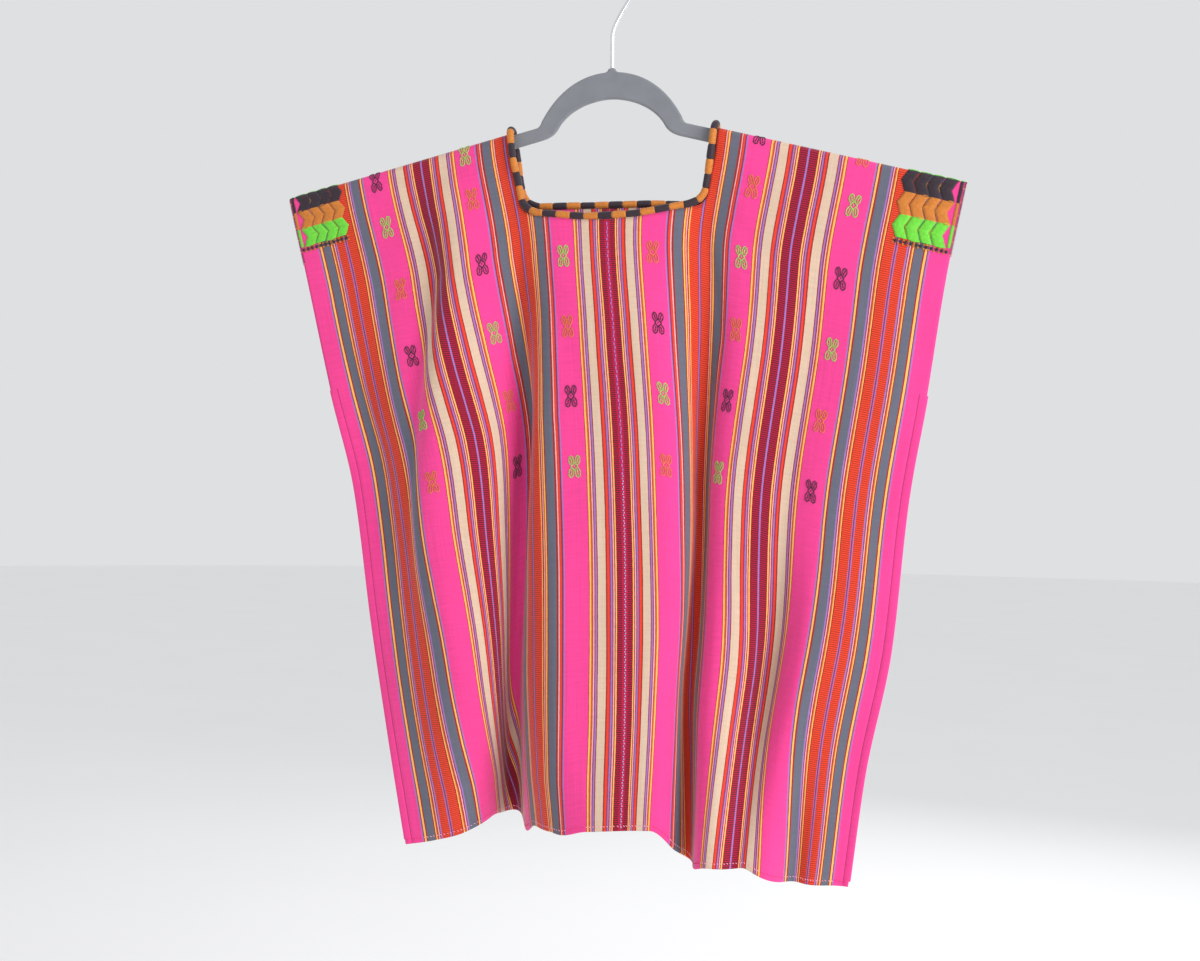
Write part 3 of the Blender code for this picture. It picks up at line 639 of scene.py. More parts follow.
def striped_cloth():
    graph = Graph("striped_cloth", roughness=0.84, specular=0.2, sheen=0.3)
    uv = graph.node("UVMap", {"uv_map": "cloth"}).outputs[0]
    parts = graph.node("SeparateXYZ", Vector=uv).outputs
    across, warp = parts[0], parts[1]

    def stretched(x, y):
        return graph.node("CombineXYZ", X=graph.times(across, x),
                          Y=graph.times(warp, y)).outputs[0]

    wobble = graph.varied(stretched(40.0, 9.0), 1.0, 3.0, -0.0006, 0.0006)
    jitter = graph.varied(stretched(900.0, 260.0), 1.0, 1.0, -0.00018, 0.00018)
    shifted = graph.calc("ADD", wobble, jitter)
    along = graph.calc("ADD", graph.calc("ABSOLUTE", across), shifted)
    colour, plain = striped_colour(graph, along)

    def wave(coordinate, pitch):
        turned = graph.times(coordinate, 2 * math.pi / pitch)
        return graph.calc("MULTIPLY_ADD", graph.calc("SINE", turned), 0.5, 0.5)

    slip = graph.varied(stretched(30.0, 12.0), 1.0, 2.0, -0.0011, 0.0011)
    rib = wave(graph.calc("ADD", warp, slip), RIB_PITCH)
    sharp = graph.node("MapRange", {"interpolation_type": "SMOOTHSTEP"}, Value=rib,
                       From_Min=0.34, From_Max=0.72).outputs[0]
    ribbed = graph.times(graph.calc("SUBTRACT", 1.0, plain), sharp)
    colour = graph.mix(ribbed, colour, graph.mix(1.0, colour, RIB_SHADE, "MULTIPLY"))

    weft = wave(warp, WEFT_PITCH)
    yarn = wave(across, YARN_PITCH)
    weave = graph.times(weft, yarn)
    yarn_tone = graph.varied(stretched(1900.0, 14.0), 1.0, 2.0, 0.84, 1.16)
    slub = graph.varied(stretched(60.0, 500.0), 1.0, 2.0, 0.89, 1.09)
    cloud = graph.varied(stretched(14.0, 10.0), 1.0, 3.0, 0.90, 1.08)
    tone = graph.times(graph.times(yarn_tone, slub), cloud)
    tone = graph.times(tone, graph.spread(weave, 0.97, 1.03))
    # A darker line along the side seam's groove, below the armhole: painted shade in the groove, on
    # top of the shallow dip that seam_groove makes.
    seam = graph.calc("COMPARE", graph.calc("ABSOLUTE", across), SEAM_LINE, SEAM_LINE_HALF * 0.6)
    seam = graph.times(seam, graph.calc("GREATER_THAN", warp, ARMHOLE))
    tone = graph.times(tone, graph.spread(seam, 1.0, 0.62))
    graph.tint(colour, tone)
    height = graph.calc("ADD", graph.times(weave, 0.5),
                        graph.times(ribbed, -0.9))
    graph.bump(height, 0.55, 0.00022)
    return graph.material


def thread(name, colour):
    """Twisted thread: tone varies from place to place, with fine fibres."""
    graph = Graph(name, roughness=0.62, specular=0.35, sheen=0.25)
    where = graph.here()
    tone = graph.varied(where, 420.0, 3.0, 0.72, 1.28)
    fine = graph.varied(where, 2600.0, 2.0, 0.86, 1.14)
    graph.tint(colour, graph.times(tone, fine))
    graph.bump(graph.noise(where, 3200.0, 2.0), 0.5, 0.00018)
    return graph.material


def flock():
    graph = Graph("flocked_plastic", roughness=0.95, specular=0.1, sheen=0.55)
    where = graph.here()
    nap = graph.noise(where, 2400.0, 3.0)
    brushed = graph.varied(where, 60.0, 3.0, 0.86, 1.14)
    graph.tint(linear(122, 124, 129), graph.times(brushed, graph.spread(nap, 0.8, 1.2)))
    graph.bump(nap, 0.6, 0.0004)
    return graph.material


def bright_wire():
    graph = Graph("hook_steel", roughness=0.22, specular=0.5, metallic=1.0)
    drawn = graph.noise(graph.here(), 300.0, 2.0)
    tone = graph.node("ValToRGB", Fac=drawn)
    tone.color_ramp.elements[0].color = (*linear(196, 198, 202), 1)
    tone.color_ramp.elements[1].color = (*linear(232, 233, 236), 1)
    graph.put(graph.shader.inputs["Base Color"], tone.outputs[0])
    graph.put(graph.shader.inputs["Roughness"], graph.spread(drawn, 0.16, 0.30))
    return graph.material


OCHRE_THREAD = thread("thread_ochre", linear(194, 116, 40))
BLACK_THREAD = thread("thread_black", linear(44, 30, 40))
GREEN_THREAD = thread("thread_green", linear(104, 200, 54))
FIGURE_OCHRE = thread("figure_ochre", linear(214, 116, 44))
FIGURE_BLACK = thread("figure_black", linear(66, 18, 50))
FIGURE_GREEN = thread("figure_green", linear(146, 200, 84))
SEAM_CRIMSON = thread("seam_crimson", linear(176, 26, 70))
SEAM_VIOLET = thread("seam_violet", linear(150, 112, 196))
SEAM_BLUE = thread("seam_blue", linear(150, 176, 228))
EDGE_DARK = thread("edge_dark", linear(74, 20, 46))
HEM_PALE = thread("hem_pale", linear(246, 170, 190))
HEM_RED = thread("hem_red", linear(226, 40, 96))
CLOTH = striped_cloth()
FLOCK = flock()
WIRE = bright_wire()


# ---------------------------------------------------------------- the two panels
COLUMN_STEP = 0.0020
ROW_STEP = 0.0041
HEM_DEPTH = 0.005
HEM_RADIUS = 0.0006
SIDE_TURNS = (45, 90, 135)
SIDE_SPREAD = (0.5, 0.9, 0.5)
SIDE_SIGNS = np.array([1, 1, -1])
BAKE_MARGIN = 0.004
ROUNDING = 1e-6


def spaced(start, end, step):
    return np.linspace(start, end, max(int(round(abs(end - start) / step)), 1) + 1)


def joined(*runs):
    return np.unique(np.round(np.concatenate(runs), 7))


def panel_downs():
    return joined(spaced(0, 0.008, 0.001), spaced(0.008, NECK_BACK, 0.003),
                  spaced(NECK_BACK, NECK_FRONT, 0.004), spaced(NECK_FRONT, ARMHOLE, ROW_STEP),
                  spaced(ARMHOLE, BACK_LENGTH, ROW_STEP), [FRONT_LENGTH])


def panel_columns(side):
    neck = abs(NECK_LEFT if side < 0 else NECK_RIGHT)
    groove = SEAM_LINE + SEAM_LINE_HALF * np.array([-1.6, -0.8, 0, 0.8, 1.6])
    return side * joined(spaced(SEAM_GAP / 2, neck, COLUMN_STEP),
                         spaced(neck, groove[0], COLUMN_STEP), groove,
                         spaced(groove[-1], HALF_WIDTH, COLUMN_STEP))


def hem_profile(length, columns):
    """Rows that turn the hem to the inside: (warp, offset inwards, distance along the cloth)."""
    edge = smooth_step((HALF_WIDTH - np.abs(columns)) / 0.04)
    radius = HEM_RADIUS * (0.35 + 0.65 * edge)
    rows = []
    for angle in np.radians((45, 90, 135, 180)):
        rows.append((length - radius + radius * math.sin(angle), radius * (1 - math.cos(angle)),
                     length + radius * angle))
    for inside in (0.3, 0.65, 1.0):
        rows.append((length - radius - HEM_DEPTH * inside, 2 * radius,
                     length + radius * math.pi + HEM_DEPTH * inside))
    return rows


def turn_round_side(vertices, rows, downs, side, add_row):
    """Rows that carry the cloth round the side, front to back, from the underarm to the hem."""
    arcs = []
    turns = np.radians(SIDE_TURNS)[:, None]
    for k in (k for k, down in enumerate(downs) if ARMHOLE <= down <= BACK_LENGTH):
        front, back = rows[1, k][-1], rows[-1, k][-1]
        centre = (vertices[front] + vertices[back]) / 2
        forward = vertices[front] - centre
        radius = np.linalg.norm(forward)
        outward = unit(vertices[front] - vertices[front - 1])
        add_row(("arc", k), centre + forward * np.cos(turns) + outward * radius * np.sin(turns),
                side * (HALF_WIDTH + radius * np.array(SIDE_SPREAD)), downs[k] * SIDE_SIGNS)
        arcs.append([front, *rows["arc", k], back])
    return arcs


def add_layers(panel, places, index):
    """The map in metres of cloth, for the stripes, and the map packed in a square, for baking."""
    length = FRONT_LENGTH + HEM_DEPTH + BAKE_MARGIN
    width = HALF_WIDTH + BAKE_MARGIN / 2
    packed = np.stack([0.005 + 0.98 * np.abs(places[:, 0]) / width,
                       0.5 + 0.49 * places[:, 1] / length], axis=1)
    for name, layer in (("cloth", places), ("OFBake", packed)):
        made = panel.data.uv_layers.new(name=name)
        made.data.foreach_set("uv", layer[index.ravel()].astype(np.float32).ravel())


def build_panel(name, side):
    """One length of cloth, folded over the shoulder, with its neck hole, side and hems."""
    columns, downs = panel_columns(side), panel_downs()
    middles = (columns[1:] + columns[:-1]) / 2
    at_neck = (middles > NECK_LEFT) & (middles < NECK_RIGHT)
    vertices, uvs, rows, faces = [], [], {}, []

    def add_row(key, points, along, warp):
        rows[key] = len(vertices) + np.arange(len(points))
        vertices.extend(points)
        uvs.extend(np.stack(np.broadcast_arrays(along, warp, points[:, 0])[:2], axis=1))

    def add_faces(here, there, facing, left_out):
        for j in np.flatnonzero(~left_out):
            quad = [here[j], here[j + 1], there[j + 1], there[j]]
            faces.append(quad if facing > 0 else quad[::-1])

    for sign, _, length in FACES:
        for k, down in enumerate(downs):
            if down > length or (sign < 0 and down == 0):
                continue
            last = k
            at = down - (HEM_RADIUS if down == length else 0)
            across, warp = eased(columns, np.full(len(columns), sign * at))
            add_row((sign, k), place(across, warp)[0], across, warp)
        for step, (warp, inward, along) in enumerate(hem_profile(length, columns)):
            points, _ = place(columns, sign * warp, -inward)
            add_row((sign, last + 1 + step), points, columns, sign * along)
    rows[-1, 0] = rows[1, 0]
    for sign, neck, _ in FACES:
        keys = sorted(k for s, k in rows if s == sign)
        for k, ahead in zip(keys[:-1], keys[1:]):
            in_neck = at_neck & (downs[min(k, len(downs) - 1)] < neck - ROUNDING)
            add_faces(rows[sign, k], rows[sign, ahead], side * sign, in_neck)
    arcs = turn_round_side(vertices, rows, downs, side, add_row)
    for here, there in zip(arcs[:-1], arcs[1:]):
        add_faces(here, there, side, np.zeros(len(SIDE_TURNS) + 1, bool))

    used, index = np.unique(np.array(faces), return_inverse=True)
    vertices = np.array(vertices)[used]
    panel = make_object(name, vertices, index.reshape(-1, 4).tolist(), [CLOTH])
    add_layers(panel, np.array(uvs)[used], index)
    wall = panel.modifiers.new("Wall", "SOLIDIFY")
    wall.thickness = SHELL
    wall.offset = 0
    wall.use_even_offset = False
    return panel


def pair(build, stem):
    """The left piece and the right one, by side."""
    return {side: build(stem + word, side) for word, side in (("_left", -1), ("_right", 1))}


panels = pair(build_panel, "cloth")


# ---------------------------------------------------------------- seams and hem
RANDOM = np.random.default_rng(7)
LONG_SEAM_STITCHES = 0.42
HEM_STITCH_UP = 0.0038


def uneven_places(start, end, pitch, uneven):
    count = int(abs(end - start) / pitch)
    return np.linspace(start, end, count) + RANDOM.uniform(-uneven, uneven, count) * pitch


def build_centre_seam():
    """A crimson ridge where the selvedges meet, with a line of small stitches down it."""
    seam = Strands()
    for sign, neck, length in FACES:
        start, end = neck + 0.002, length - 0.001
        warp = sign * np.linspace(start, end, 160)[None, :]
        seam.add(np.zeros_like(warp), warp, SEAM_RIDGE)
        middle = start + LONG_SEAM_STITCHES * (end - start)
        for low, high, pitch, size, slot in ((start + 0.004, middle, 0.0032, 0.0026, 1),
                                             (middle, end - 0.002, 0.0021, 0.0012, 2)):
            at = uneven_places(low, high, pitch, 0.10)
            t = np.linspace(-0.5, 0.5, 5)[None, :] * size
            drift = np.where(np.arange(len(at)) % 2, 0.0003, -0.0003)[:, None] + 0 * t
            seam.add(drift, sign * (at[:, None] + t), SEAM_STITCH, slot)
    return seam.build("centre_seam", [SEAM_CRIMSON, SEAM_VIOLET, SEAM_BLUE])


def on_pink(across):
    index = np.searchsorted(STRIPE_STARTS, np.abs(across)) - 1
    return np.array([STRIPES[i].colour == PINK for i in np.clip(index, 0, len(STRIPES) - 1)])


def build_hem_stitches():
    """A row of small stitches above the hem, red on the pink stripes and pale elsewhere."""
    stitches = Strands()
    t = np.linspace(-0.5, 0.5, 4)[None, :]
    for sign, _, length in FACES:
        at = uneven_places(-HALF_WIDTH + 0.003, HALF_WIDTH - 0.003, 0.0030, 0.12)
        pink = on_pink(at)
        for slot, chosen in ((0, at[~pink]), (1, at[pink])):
            up = RANDOM.uniform(-0.0002, 0.0002, (len(chosen), 1))
            warp = sign * (length - HEM_STITCH_UP + up + t * 0.0009)
            stitches.add(chosen[:, None] + t * 0.0016, warp, HEM_STITCH, slot)
    return stitches.build("hem_stitches", [HEM_PALE, HEM_RED])


# ---------------------------------------------------------------- brocade figures
# Lines of one half of a figure in millimetres, (across, up); the other half mirrors it.
FIGURE_LINES = (
    ((0.0, 3.4), (2.9, 0.2), (0.0, -3.0)),
    ((0.0, 0.7), (0.0, -0.3)),
    ((0.7, 3.2), (0.8, 4.8), (1.0, 6.6), (1.7, 8.0), (2.9, 8.6)),
    ((2.2, 1.0), (3.5, 2.2), (4.4, 3.8), (4.7, 6.0), (4.3, 7.7), (2.9, 8.6)),
    ((2.2, 3.2), (2.4, 5.0), (3.1, 6.9)),
    ((0.7, -2.8), (0.8, -4.5), (1.0, -6.4), (1.6, -7.9), (2.8, -8.5)),
    ((2.2, -0.6), (3.5, -1.9), (4.5, -3.6), (4.8, -5.9), (4.3, -7.6), (2.8, -8.5)),
    ((2.3, -3.0), (2.5, -4.8), (3.1, -6.7)),
)
CELL_UP = 0.72
CELL_ACROSS = 0.36


def figure_floats():
    """Weft floats (low, high, up) in millimetres that draw the figure, row by row."""
    cells = set()
    for line in FIGURE_LINES:
        for (x0, y0), (x1, y1) in zip(line[:-1], line[1:]):
            for t in np.linspace(0, 1, 24):
                x, y = x0 + (x1 - x0) * t, y0 + (y1 - y0) * t
                row, column = round(y / CELL_UP), round(x / CELL_ACROSS)
                cells |= {(row, column), (row, -column)}
    floats = []
    for row in sorted({r for r, _ in cells}):
        marks = sorted(c for r, c in cells if r == row)
        start = last = marks[0]
        for mark in marks[1:] + [math.inf]:
            if mark - last > 1:
                floats.append((start * CELL_ACROSS - CELL_ACROSS,
                               last * CELL_ACROSS + CELL_ACROSS, row * CELL_UP))
                start = mark
            last = mark
    return floats


# The figures in front: across in millimetres, and each one's warp in millimetres with its
# colour, 0 ochre, 1 black and 2 green. Those of the back lie lower.
BACK_FIGURES_DOWN = 34
FIGURE_COLUMNS = (
    (-200.6, ((9, 1), (49, 2), (103, 0), (161, 1), (219, 2), (272, 0))),
    (-116.6, ((9, 2), (47, 0), (102, 1), (159, 2), (216, 0), (271, 1))),
    (-40.0, ((107, 2), (165, 0), (222, 1), (279, 2))),
    (40.0, ((105, 0), (163, 1), (220, 2), (278, 0))),
    (116.6, ((0, 1), (42, 0), (98, 2), (155, 0), (211, 1), (268, 2))),
    (200.6, ((-1, 0), (39, 2), (97, 1), (153, 2), (210, 0), (266, 1))),
)


def build_figures(name, side):
    low, high, up = (each[:, None] / 1000 for each in np.array(figure_floats()).T)
    figures = Strands()
    t = np.linspace(0, 1, 5)[None, :]
    for across_mm, marks in FIGURE_COLUMNS:
        if across_mm * side < 0:
            continue
        for sign in (1, -1):
            for k, (warp_mm, colour) in enumerate(marks):
                if sign < 0:
                    warp_mm, colour = warp_mm + BACK_FIGURES_DOWN, (colour + k) % 3
                skew = RANDOM.uniform(-0.05, 0.05)
                shake = RANDOM.uniform(-0.00010, 0.00010, low.shape)
                centre = across_mm / 1000 + RANDOM.uniform(-0.0008, 0.0008)
                across = centre + low + (high - low) * t + shake + skew * up
                warp = sign * (warp_mm / 1000 - up) + 0 * t
                figures.add(across, warp, FIGURE_FLOAT, colour)
    return figures.build(name, [FIGURE_OCHRE, FIGURE_BLACK, FIGURE_GREEN])


# ---------------------------------------------------------------- shoulder embroidery
# Rows of arrowheads by side and face, in millimetres down from the fold; a start below 0 is
# over the fold. Slots: 0 ochre, 1 black and 2 green.
Row = namedtuple("Row", "start end slot")
PATCH_ROWS = {
    (-1, 1): (Row(2.2, 15.6, 1), Row(15.8, 30.4, 0), Row(30.6, 45.4, 2)),
    (-1, -1): (Row(-1.9, 15.6, 2), Row(15.8, 30.4, 0), Row(30.6, 45.4, 1)),
    (1, 1): (Row(2.5, 19.4, 1), Row(19.6, 37.2, 0), Row(37.4, 55.2, 2)),
    (1, -1): (Row(-2.1, 19.4, 2), Row(19.6, 37.2, 0), Row(37.4, 55.2, 1)),
}
KNOTS_BELOW = 3.0
CHEVRONS = (0.0, 10.9, 20.6, 31.2, 41.4)
CHEVRON_BOW = 10.4
CHEVRON_START = 4.6
CHEVRON_POINT = 4.2
STITCH_PITCH = 0.78
STITCH_FAN = 3.4
STITCH_GAP = 0.22
STITCH_SWELL = 0.35
STITCH_LEAST = 0.05
BAR_PITCH = 0.80
KNOTS = 11
KNOT_START = 3.4
KNOT_PITCH = 4.1


def build_shoulder_patch(name, side):
    """Satin-stitched arrowheads that point to the neck, in three rows front and back."""
    patch = Strands()
    t = np.linspace(0, 1, 6)[None, :]
    short = np.linspace(-0.5, 0.5, 4)[None, :]

    def stitch(inset, warp, yarn, slot):
        patch.add(side * (HALF_WIDTH - inset / 1000), warp / 1000, yarn, slot)

    def arrowheads(row, sign, arm):
        half, middle = (row.end - row.start) / 2, (row.start + row.end) / 2
        near = np.arange(-STITCH_FAN + 0.4, half, STITCH_PITCH)[:, None]
        start = np.clip(near, STITCH_LEAST, half)
        end = np.clip(near + STITCH_FAN, STITCH_LEAST, half)
        edge = CHEVRON_START + CHEVRON_POINT * (1 - np.stack([end, start]) / half)
        for first, last in zip(CHEVRONS[:-1], CHEVRONS[1:]):
            bow = STITCH_SWELL * np.sin(math.pi * (first + last) / 2 / CHEVRON_BOW)
            outer = edge[0] + first + STITCH_GAP
            inner = edge[1] + last - STITCH_GAP
            shake = RANDOM.uniform(-0.12, 0.12, near.shape)
            swell = (STITCH_SWELL + bow) * np.sin(math.pi * t) * (start / half)
            away = start + (end - start) * t + swell
            stitch(inner + (outer - inner) * t + shake, sign * (middle + arm * away),
                   SATIN_STITCH, row.slot)

    def knots_and_spurs(down, sign):
        """Dark knots between small ochre stitches."""
        for k in range(KNOTS):
            at = KNOT_START + KNOT_PITCH * k + RANDOM.uniform(-0.3, 0.3)
            for j in (-0.75, 0.05, 0.8):
                stitch(at + 2.2 * short, sign * (down + j + 0.4 * short), KNOT_STITCH, 1)
            for away, reach in ((-2.2, 1.5), (2.5, -1.7)):
                for lean in (-1, 1):
                    stitch(at + 2.0 + lean * 0.8 * (short + 0.5),
                           sign * (down + away + reach * (short + 0.5)), SPUR_STITCH, 0)

    for sign in (1, -1):
        rows = PATCH_ROWS[side, sign]
        for row in rows:
            for arm in (-1, 1):
                arrowheads(row, sign, arm)
            bar = np.arange(row.start + 0.3, row.end, BAR_PITCH)[:, None]
            inset = 3.9 - 2.8 * t + RANDOM.uniform(-0.1, 0.1, bar.shape)
            stitch(inset, sign * (bar + 0 * t), BAR_STITCH, row.slot)
        knots_and_spurs(rows[-1].end + KNOTS_BELOW, sign)
    return patch.build(name, [OCHRE_THREAD, BLACK_THREAD, GREEN_THREAD])


OVERCAST_REACH = 60.0
OVERCAST_PITCH = 1.5


def build_overcast(name, side):
    """Short stitches over the selvedge of the sleeve end, beside the embroidery."""
    stitches = Strands()
    inset = np.array([0.0018, 0.0008, 0.0])
    slant = np.array([-0.0003, 0.0, 0.0002])
    lift = SHELL / 2 + OVERCAST_STITCH.lift
    for k, warp_mm in enumerate(np.arange(-OVERCAST_REACH, OVERCAST_REACH + 1, OVERCAST_PITCH)):
        points, normal = place(side * (HALF_WIDTH - inset), warp_mm / 1000 + slant)
        out = unit(points[2] - points[1])
        round_edge = [points[2] + normal[2] * lift * 0.8 + out * 0.0002,
                      points[2] + out * (lift + 0.0001),
                      points[2] - normal[2] * lift * 0.8 + out * 0.0002]
        route = np.array([*(points[:2] + normal[:2] * lift), *round_edge,
                          *(points[1::-1] - normal[1::-1] * lift)])
        facing = unit(np.array([*normal[:2], normal[2] + out, out, out - normal[2],
                                *-normal[1::-1]]))
        stitches.add_along(route[None], facing[None], OVERCAST_STITCH, int(k % 7 == 3))
    return stitches.build(name, [EDGE_DARK, OCHRE_THREAD])


# ---------------------------------------------------------------- neck binding
def neck_route():
    """The roll's line round the neck hole: four straight runs between rounded corners."""
    inset = BINDING_RADIUS + BINDING_GAP + BINDING_CORNER
    left, right = NECK_LEFT + inset, NECK_RIGHT - inset
    low, high = -NECK_BACK + inset, NECK_FRONT - inset
    across = list(np.linspace(left, right, 60))[1:-1]
    rise = list(np.linspace(low, high, 90))[1:-1]
    runs = ((right, high, [(a, high + BINDING_CORNER) for a in reversed(across)]),
            (left, high, [(left - BINDING_CORNER, w) for w in reversed(rise)]),
            (left, low, [(a, low - BINDING_CORNER) for a in across]),
            (right, low, [(right + BINDING_CORNER, w) for w in rise]))
    route = []
    for k, (x, warp, straight) in enumerate(runs):
        for turn in np.radians(90 * k + np.linspace(0, 90, 9)):
            route.append((x + BINDING_CORNER * math.cos(turn),
                          warp + BINDING_CORNER * math.sin(turn)))
        route += straight
    return route


WRAP_PITCH = 0.00078
WRAP_HEIGHT = 0.00020
RING_STEP = 0.00026
BINDING_BLOCKS = 48
BINDING_SIDES = 18
ROLL_SMOOTHING = 12
BLOCK_PINCH = 0.00045
BLOCK_PINCH_REACH = 0.0008


def roll_centres(route, length):
    """Evenly spaced places along the closed route, with its corners eased."""
    at = np.linspace(0, length[-1], int(length[-1] / RING_STEP), endpoint=False)
    centre = np.stack([np.interp(at, length, route[:, k]) for k in range(3)], axis=1)
    kernel = np.exp(-np.linspace(-2, 2, 2 * ROLL_SMOOTHING + 1) ** 2)
    kernel /= kernel.sum()
    padded = np.vstack([centre[-ROLL_SMOOTHING:], centre, centre[:ROLL_SMOOTHING]])
    eased_line = [np.convolve(padded[:, k], kernel, mode="valid") for k in range(3)]
    return at, np.stack(eased_line, axis=1)


def build_neck_binding():
    """A roll wrapped with thread in blocks of ochre and black."""
    across, warp = dipped(*np.array(neck_route()).T)
    lift = BINDING_LIFT * (1 - smooth_step(np.abs(warp) / BINDING_LIFT_REACH - 1))
    route = model_points(across, warp) + normals(across, warp) * lift[:, None]
    route = np.vstack([route, route[:1]])
    length = np.concatenate([[0], np.cumsum(np.linalg.norm(np.diff(route, axis=0), axis=1))])
    at, centre = roll_centres(route, length)
    along = unit(np.roll(centre, -1, axis=0) - np.roll(centre, 1, axis=0))
    beside = unit(np.cross(along, (0, 1, 0)))
    up = np.cross(beside, along)
    left_top = length[np.argmin(np.abs(warp) + (across > 0))]
    block = BINDING_BLOCKS * ((at - left_top) / length[-1] % 1.0) + 0.5
    within = block % 1.0
    edge = np.minimum(within, 1 - within) * length[-1] / BINDING_BLOCKS
    body = BINDING_RADIUS * (0.985 + 0.06 * np.sin(at * 131.0) * np.sin(at * 47.0 + 1.0))
    body = body - BLOCK_PINCH * np.exp(-((edge / BLOCK_PINCH_REACH) ** 2))
    angle = 2 * math.pi * np.arange(BINDING_SIDES) / BINDING_SIDES
    slant = at[:, None] / WRAP_PITCH * 2 * math.pi + 2 * np.cos(angle)
    radius = body[:, None] + WRAP_HEIGHT * np.abs(np.sin(slant / 2)) - WRAP_HEIGHT / 2
    vertices = (centre[:, None] + radius[..., None]
                * (beside[:, None] * np.cos(angle)[:, None] + up[:, None] * np.sin(angle)[:, None]))
    index = np.arange(radius.size).reshape(radius.shape)
    ahead = np.roll(index, -1, axis=0)
    faces = np.stack([index, np.roll(index, -1, axis=1), np.roll(ahead, -1, axis=1), ahead], -1)
    slots = np.repeat(block.astype(int) % 2, BINDING_SIDES)
    return make_object("neck_roll", vertices.reshape(-1, 3), faces.reshape(-1, 4).tolist(),
                       [BLACK_THREAD, OCHRE_THREAD], slots)


# ---------------------------------------------------------------- hanger
def hanger_centreline():
    slope = math.atan(SHOULDER_SLOPE)
    cloth_over_arm = WALL / 2 + ARM_CLEARANCE
    arm_top_z = NECK_TOP_Z - cloth_over_arm / math.cos(slope)
    arm_z = arm_top_z - ARM_HALF_HEIGHT / math.cos(slope)
    crown_centre = CROWN_Z - CROWN_RADIUS
    line_z = arm_z + HIP_RADIUS / math.cos(slope) + SHOULDER_SLOPE * NECK_TOP_X - crown_centre
    reach = CROWN_RADIUS + HIP_RADIUS
    a, b, c = 1 + SHOULDER_SLOPE**2, -2 * SHOULDER_SLOPE * line_z, line_z**2 - reach**2
    hip_x = (-b + math.sqrt(b * b - 4 * a * c)) / (2 * a)
    hip_z = crown_centre + line_z - SHOULDER_SLOPE * hip_x
    meet = math.asin(hip_x / reach)
    points = []
    for k in range(41):
        turn = meet * k / 40
        half = (CROWN_HALF_HEIGHT + (HIP_HALF_HEIGHT - CROWN_HALF_HEIGHT)
                * smooth_step(turn / meet) ** 1.5)
        points.append((CROWN_RADIUS * math.sin(turn),
                       crown_centre + CROWN_RADIUS * math.cos(turn), half))
    for k in range(1, 22):
        turn = meet + (slope - meet) * k / 21
        half = HIP_HALF_HEIGHT + (ARM_HALF_HEIGHT - HIP_HALF_HEIGHT) * smooth_step(k / 21)
        points.append((hip_x - HIP_RADIUS * math.sin(turn),
                       hip_z - HIP_RADIUS * math.cos(turn), half))
    tip_x = HANGER_HALF - ARM_HALF_HEIGHT
    points.append((tip_x, arm_z - SHOULDER_SLOPE * (tip_x - NECK_TOP_X), ARM_HALF_HEIGHT))
    return points


def hanger_outline():
    line = hanger_centreline()
    upper, lower = [], []
    for i, (x, z, half) in enumerate(line):
        before, after = line[max(i - 1, 0)], line[min(i + 1, len(line) - 1)]
        turn = math.atan2(after[1] - before[1], after[0] - before[0]) if i else 0.0
        upper.append((x - half * math.sin(turn), z + half * math.cos(turn)))
        lower.append((x + half * math.sin(turn), z - half * math.cos(turn)))
    tip_x, tip_z, half = line[-1]
    start = math.atan2(upper[-1][1] - tip_z, upper[-1][0] - tip_x)
    tip = [(tip_x + half * math.cos(start - math.pi * k / 20),
            tip_z + half * math.sin(start - math.pi * k / 20)) for k in range(1, 20)]
    crown_z = upper[0][1]
    boss = [(BOSS_HALF_WIDTH * math.sin(t) ** 0.7, crown_z + BOSS_HEIGHT * math.cos(t) ** 0.6)
            for t in np.linspace(0.001, 1.45, 8)]
    return boss + [p for p in upper if p[0] > 1.25 * BOSS_HALF_WIDTH] + tip + lower[::-1]


def poly_curve(name, dimensions, points, bevel, resolution, material):
    curve = bpy.data.curves.new(name, "CURVE")
    curve.dimensions = dimensions
    curve.bevel_depth = bevel
    curve.bevel_resolution = resolution
    curve.materials.append(material)
    spline = curve.splines.new("POLY")
    spline.points.add(len(points) - 1)
    for point, at in zip(spline.points, points):
        point.co = (*at, 1)
    return curve


def build_hanger():
    half = [(x, z, 0) for x, z in hanger_outline()]
    loop = half + [(-x, z, 0) for x, z, _ in reversed(half) if x > 1e-5]
    curve = poly_curve("hanger_flocked", "2D", loop, HANGER_EDGE, 4, FLOCK)
    curve.fill_mode = "BOTH"
    curve.extrude = HANGER_THICKNESS / 2 - HANGER_EDGE
    curve.offset = -HANGER_EDGE
    curve.splines[0].use_cyclic_u = True
    body = link("hanger_flocked", curve)
    body.rotation_euler = (math.pi / 2, 0, 0)
    return body


def build_hook():
    centre_z = -(HOOK_RADIUS - WIRE_RADIUS)
    boss_top = CROWN_Z + CROWN_HALF_HEIGHT + BOSS_HEIGHT
    leave = (HOOK_RADIUS * math.cos(HOOK_LEAVE), centre_z + HOOK_RADIUS * math.sin(HOOK_LEAVE))
    foot, start = boss_top + SEAM_GAP, HOOK_BEND_Z - HOOK_BEND_REACH
    route = [(0.0, 0.0, foot + (start - foot) * k / 8) for k in range(9)]
    corners = ((0.0, start), (0.0, HOOK_BEND_Z + HOOK_BEND_REACH), leave)
    for t in np.arange(1, 20) / 20:
        weights = ((1 - t) ** 2, 2 * t * (1 - t), t * t)
        x, z = (sum(w * c[i] for w, c in zip(weights, corners)) for i in (0, 1))
        route.append((x, 0.0, z))
    for turn in np.linspace(HOOK_LEAVE, HOOK_END, 90):
        route.append((HOOK_RADIUS * math.cos(turn), 0.0, centre_z + HOOK_RADIUS * math.sin(turn)))
    curve = poly_curve("hook_wire", "3D", route, WIRE_RADIUS, 6, WIRE)
    curve.use_fill_caps = True
    return link("hook_wire", curve)


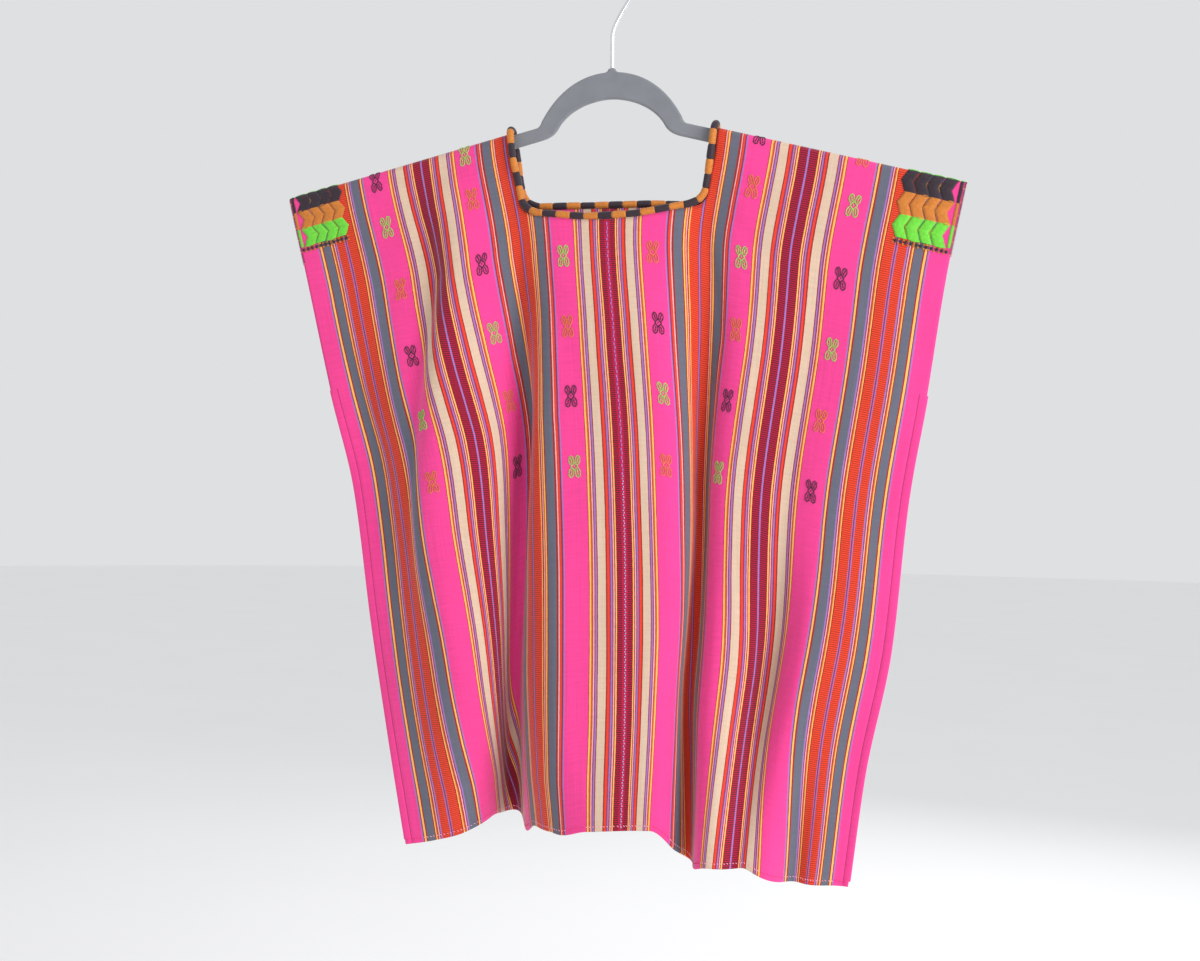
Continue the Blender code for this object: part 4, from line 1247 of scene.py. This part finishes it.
centre_seam = build_centre_seam()
hem_stitches = build_hem_stitches()
figures = pair(build_figures, "figures")
patches = pair(build_shoulder_patch, "embroidery")
overcast = pair(build_overcast, "overcast")
neck_roll = build_neck_binding()
hanger = build_hanger()
hook = build_hook()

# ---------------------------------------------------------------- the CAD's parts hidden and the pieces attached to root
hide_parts("panel_left")
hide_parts("panel_right")
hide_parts("shoulder_patch_left")
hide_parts("shoulder_patch_right")
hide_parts("neck_binding")
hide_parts("hanger_body")
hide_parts("hanger_hook")
for pieces, slot in (
    ((panels[-1], panels[1]), "striped_cloth"),
    ((figures[-1], figures[1], patches[-1], patches[1], overcast[-1], overcast[1]),
     "embroidery_thread"),
    ((centre_seam, hem_stitches), "embroidery_thread"),
    ((neck_roll,), "binding_thread"),
    ((hanger,), "flocked_plastic"),
    ((hook,), "hook_steel"),
):
    for piece in pieces:
        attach(piece, "root")

for side, neck in ((-1, -NECK_LEFT), (1, NECK_RIGHT)):
    extras = [figures[side], patches[side], overcast[side]]
    if side < 0:
        extras += [centre_seam, hem_stitches]


# ---------------------------------------------------------------- stage, light and camera
FLOOR_TONE = (0.95, 0.95, 0.95)
FLOOR_RADIUS = 14.0
FLOOR_Z = -1.25
FLOOR_CORNERS = 96
SKY_TONE = (0.97, 0.98, 1.0, 1)
SKY_STRENGTH = 0.76
LAMPS_AIM = (0.0, 0.0, -0.45)
Lamp = namedtuple("Lamp", "name at size power colour")
LAMPS = (
    Lamp("window", (1.65, -1.05, 0.0), (1.0, 1.5), 36.0, (0.97, 0.98, 1.0)),
    Lamp("fill", (-1.8, -2.2, 0.4), (2.0, 2.0), 5.0, (1.0, 0.98, 0.96)),
    Lamp("behind", (0.6, 2.2, 0.5), (2.0, 2.0), 16.0, (1.0, 1.0, 1.0)),
)
CAMERA_TURN = math.radians(13.0)
CAMERA_ROLL = math.radians(0.8)
CAMERA_AT = (0.2993, -1.3195, -0.433)
SENSOR_MM = 36.0
LENS_MM = 49.5


def build_floor():
    graph = Graph("floor", roughness=0.9, specular=0.1)
    graph.tint(FLOOR_TONE, graph.varied(graph.here(), 3.0, 3.0, 0.97, 1.0))
    angle = np.linspace(0, 2 * math.pi, FLOOR_CORNERS, endpoint=False)
    ring = np.stack([FLOOR_RADIUS * np.cos(angle), FLOOR_RADIUS * np.sin(angle),
                     np.full_like(angle, FLOOR_Z)], axis=1)
    floor = make_object("floor", ring, [list(range(FLOOR_CORNERS))], [graph.material],
                        smooth=False)


def light_scene():
    world = bpy.data.worlds.new("studio")
    world.use_nodes = True
    sky = world.node_tree.nodes["Background"]
    sky.inputs[0].default_value = SKY_TONE
    sky.inputs[1].default_value = SKY_STRENGTH
    bpy.context.scene.world = world
    for lamp in LAMPS:
        data = bpy.data.lights.new(lamp.name, "AREA")
        data.shape = "RECTANGLE"
        data.size, data.size_y = lamp.size
        data.energy = lamp.power
        data.color = lamp.colour
        made = link(lamp.name, data)
        made.location = lamp.at
        aim = Vector(LAMPS_AIM) - Vector(lamp.at)
        made.rotation_euler = aim.to_track_quat("-Z", "Y").to_euler()


def add_camera():
    data = bpy.data.cameras.new("camera")
    data.sensor_fit = "HORIZONTAL"
    data.sensor_width = SENSOR_MM
    data.lens = LENS_MM
    data.clip_start, data.clip_end = 0.05, 60.0
    forward = Vector((-math.sin(CAMERA_TURN), math.cos(CAMERA_TURN), 0))
    right, up = Vector((math.cos(CAMERA_TURN), math.sin(CAMERA_TURN), 0)), Vector((0, 0, 1))
    rolled_up = up * math.cos(CAMERA_ROLL) - right * math.sin(CAMERA_ROLL)
    rolled_right = right * math.cos(CAMERA_ROLL) + up * math.sin(CAMERA_ROLL)
    turned = Matrix((rolled_right, rolled_up, -forward)).transposed().to_4x4()
    camera = link("camera", data)
    camera.matrix_world = Matrix.Translation(CAMERA_AT) @ turned
    bpy.context.scene.camera = camera


build_floor()
light_scene()
add_camera()
bpy.context.scene.view_settings.view_transform = "Standard"
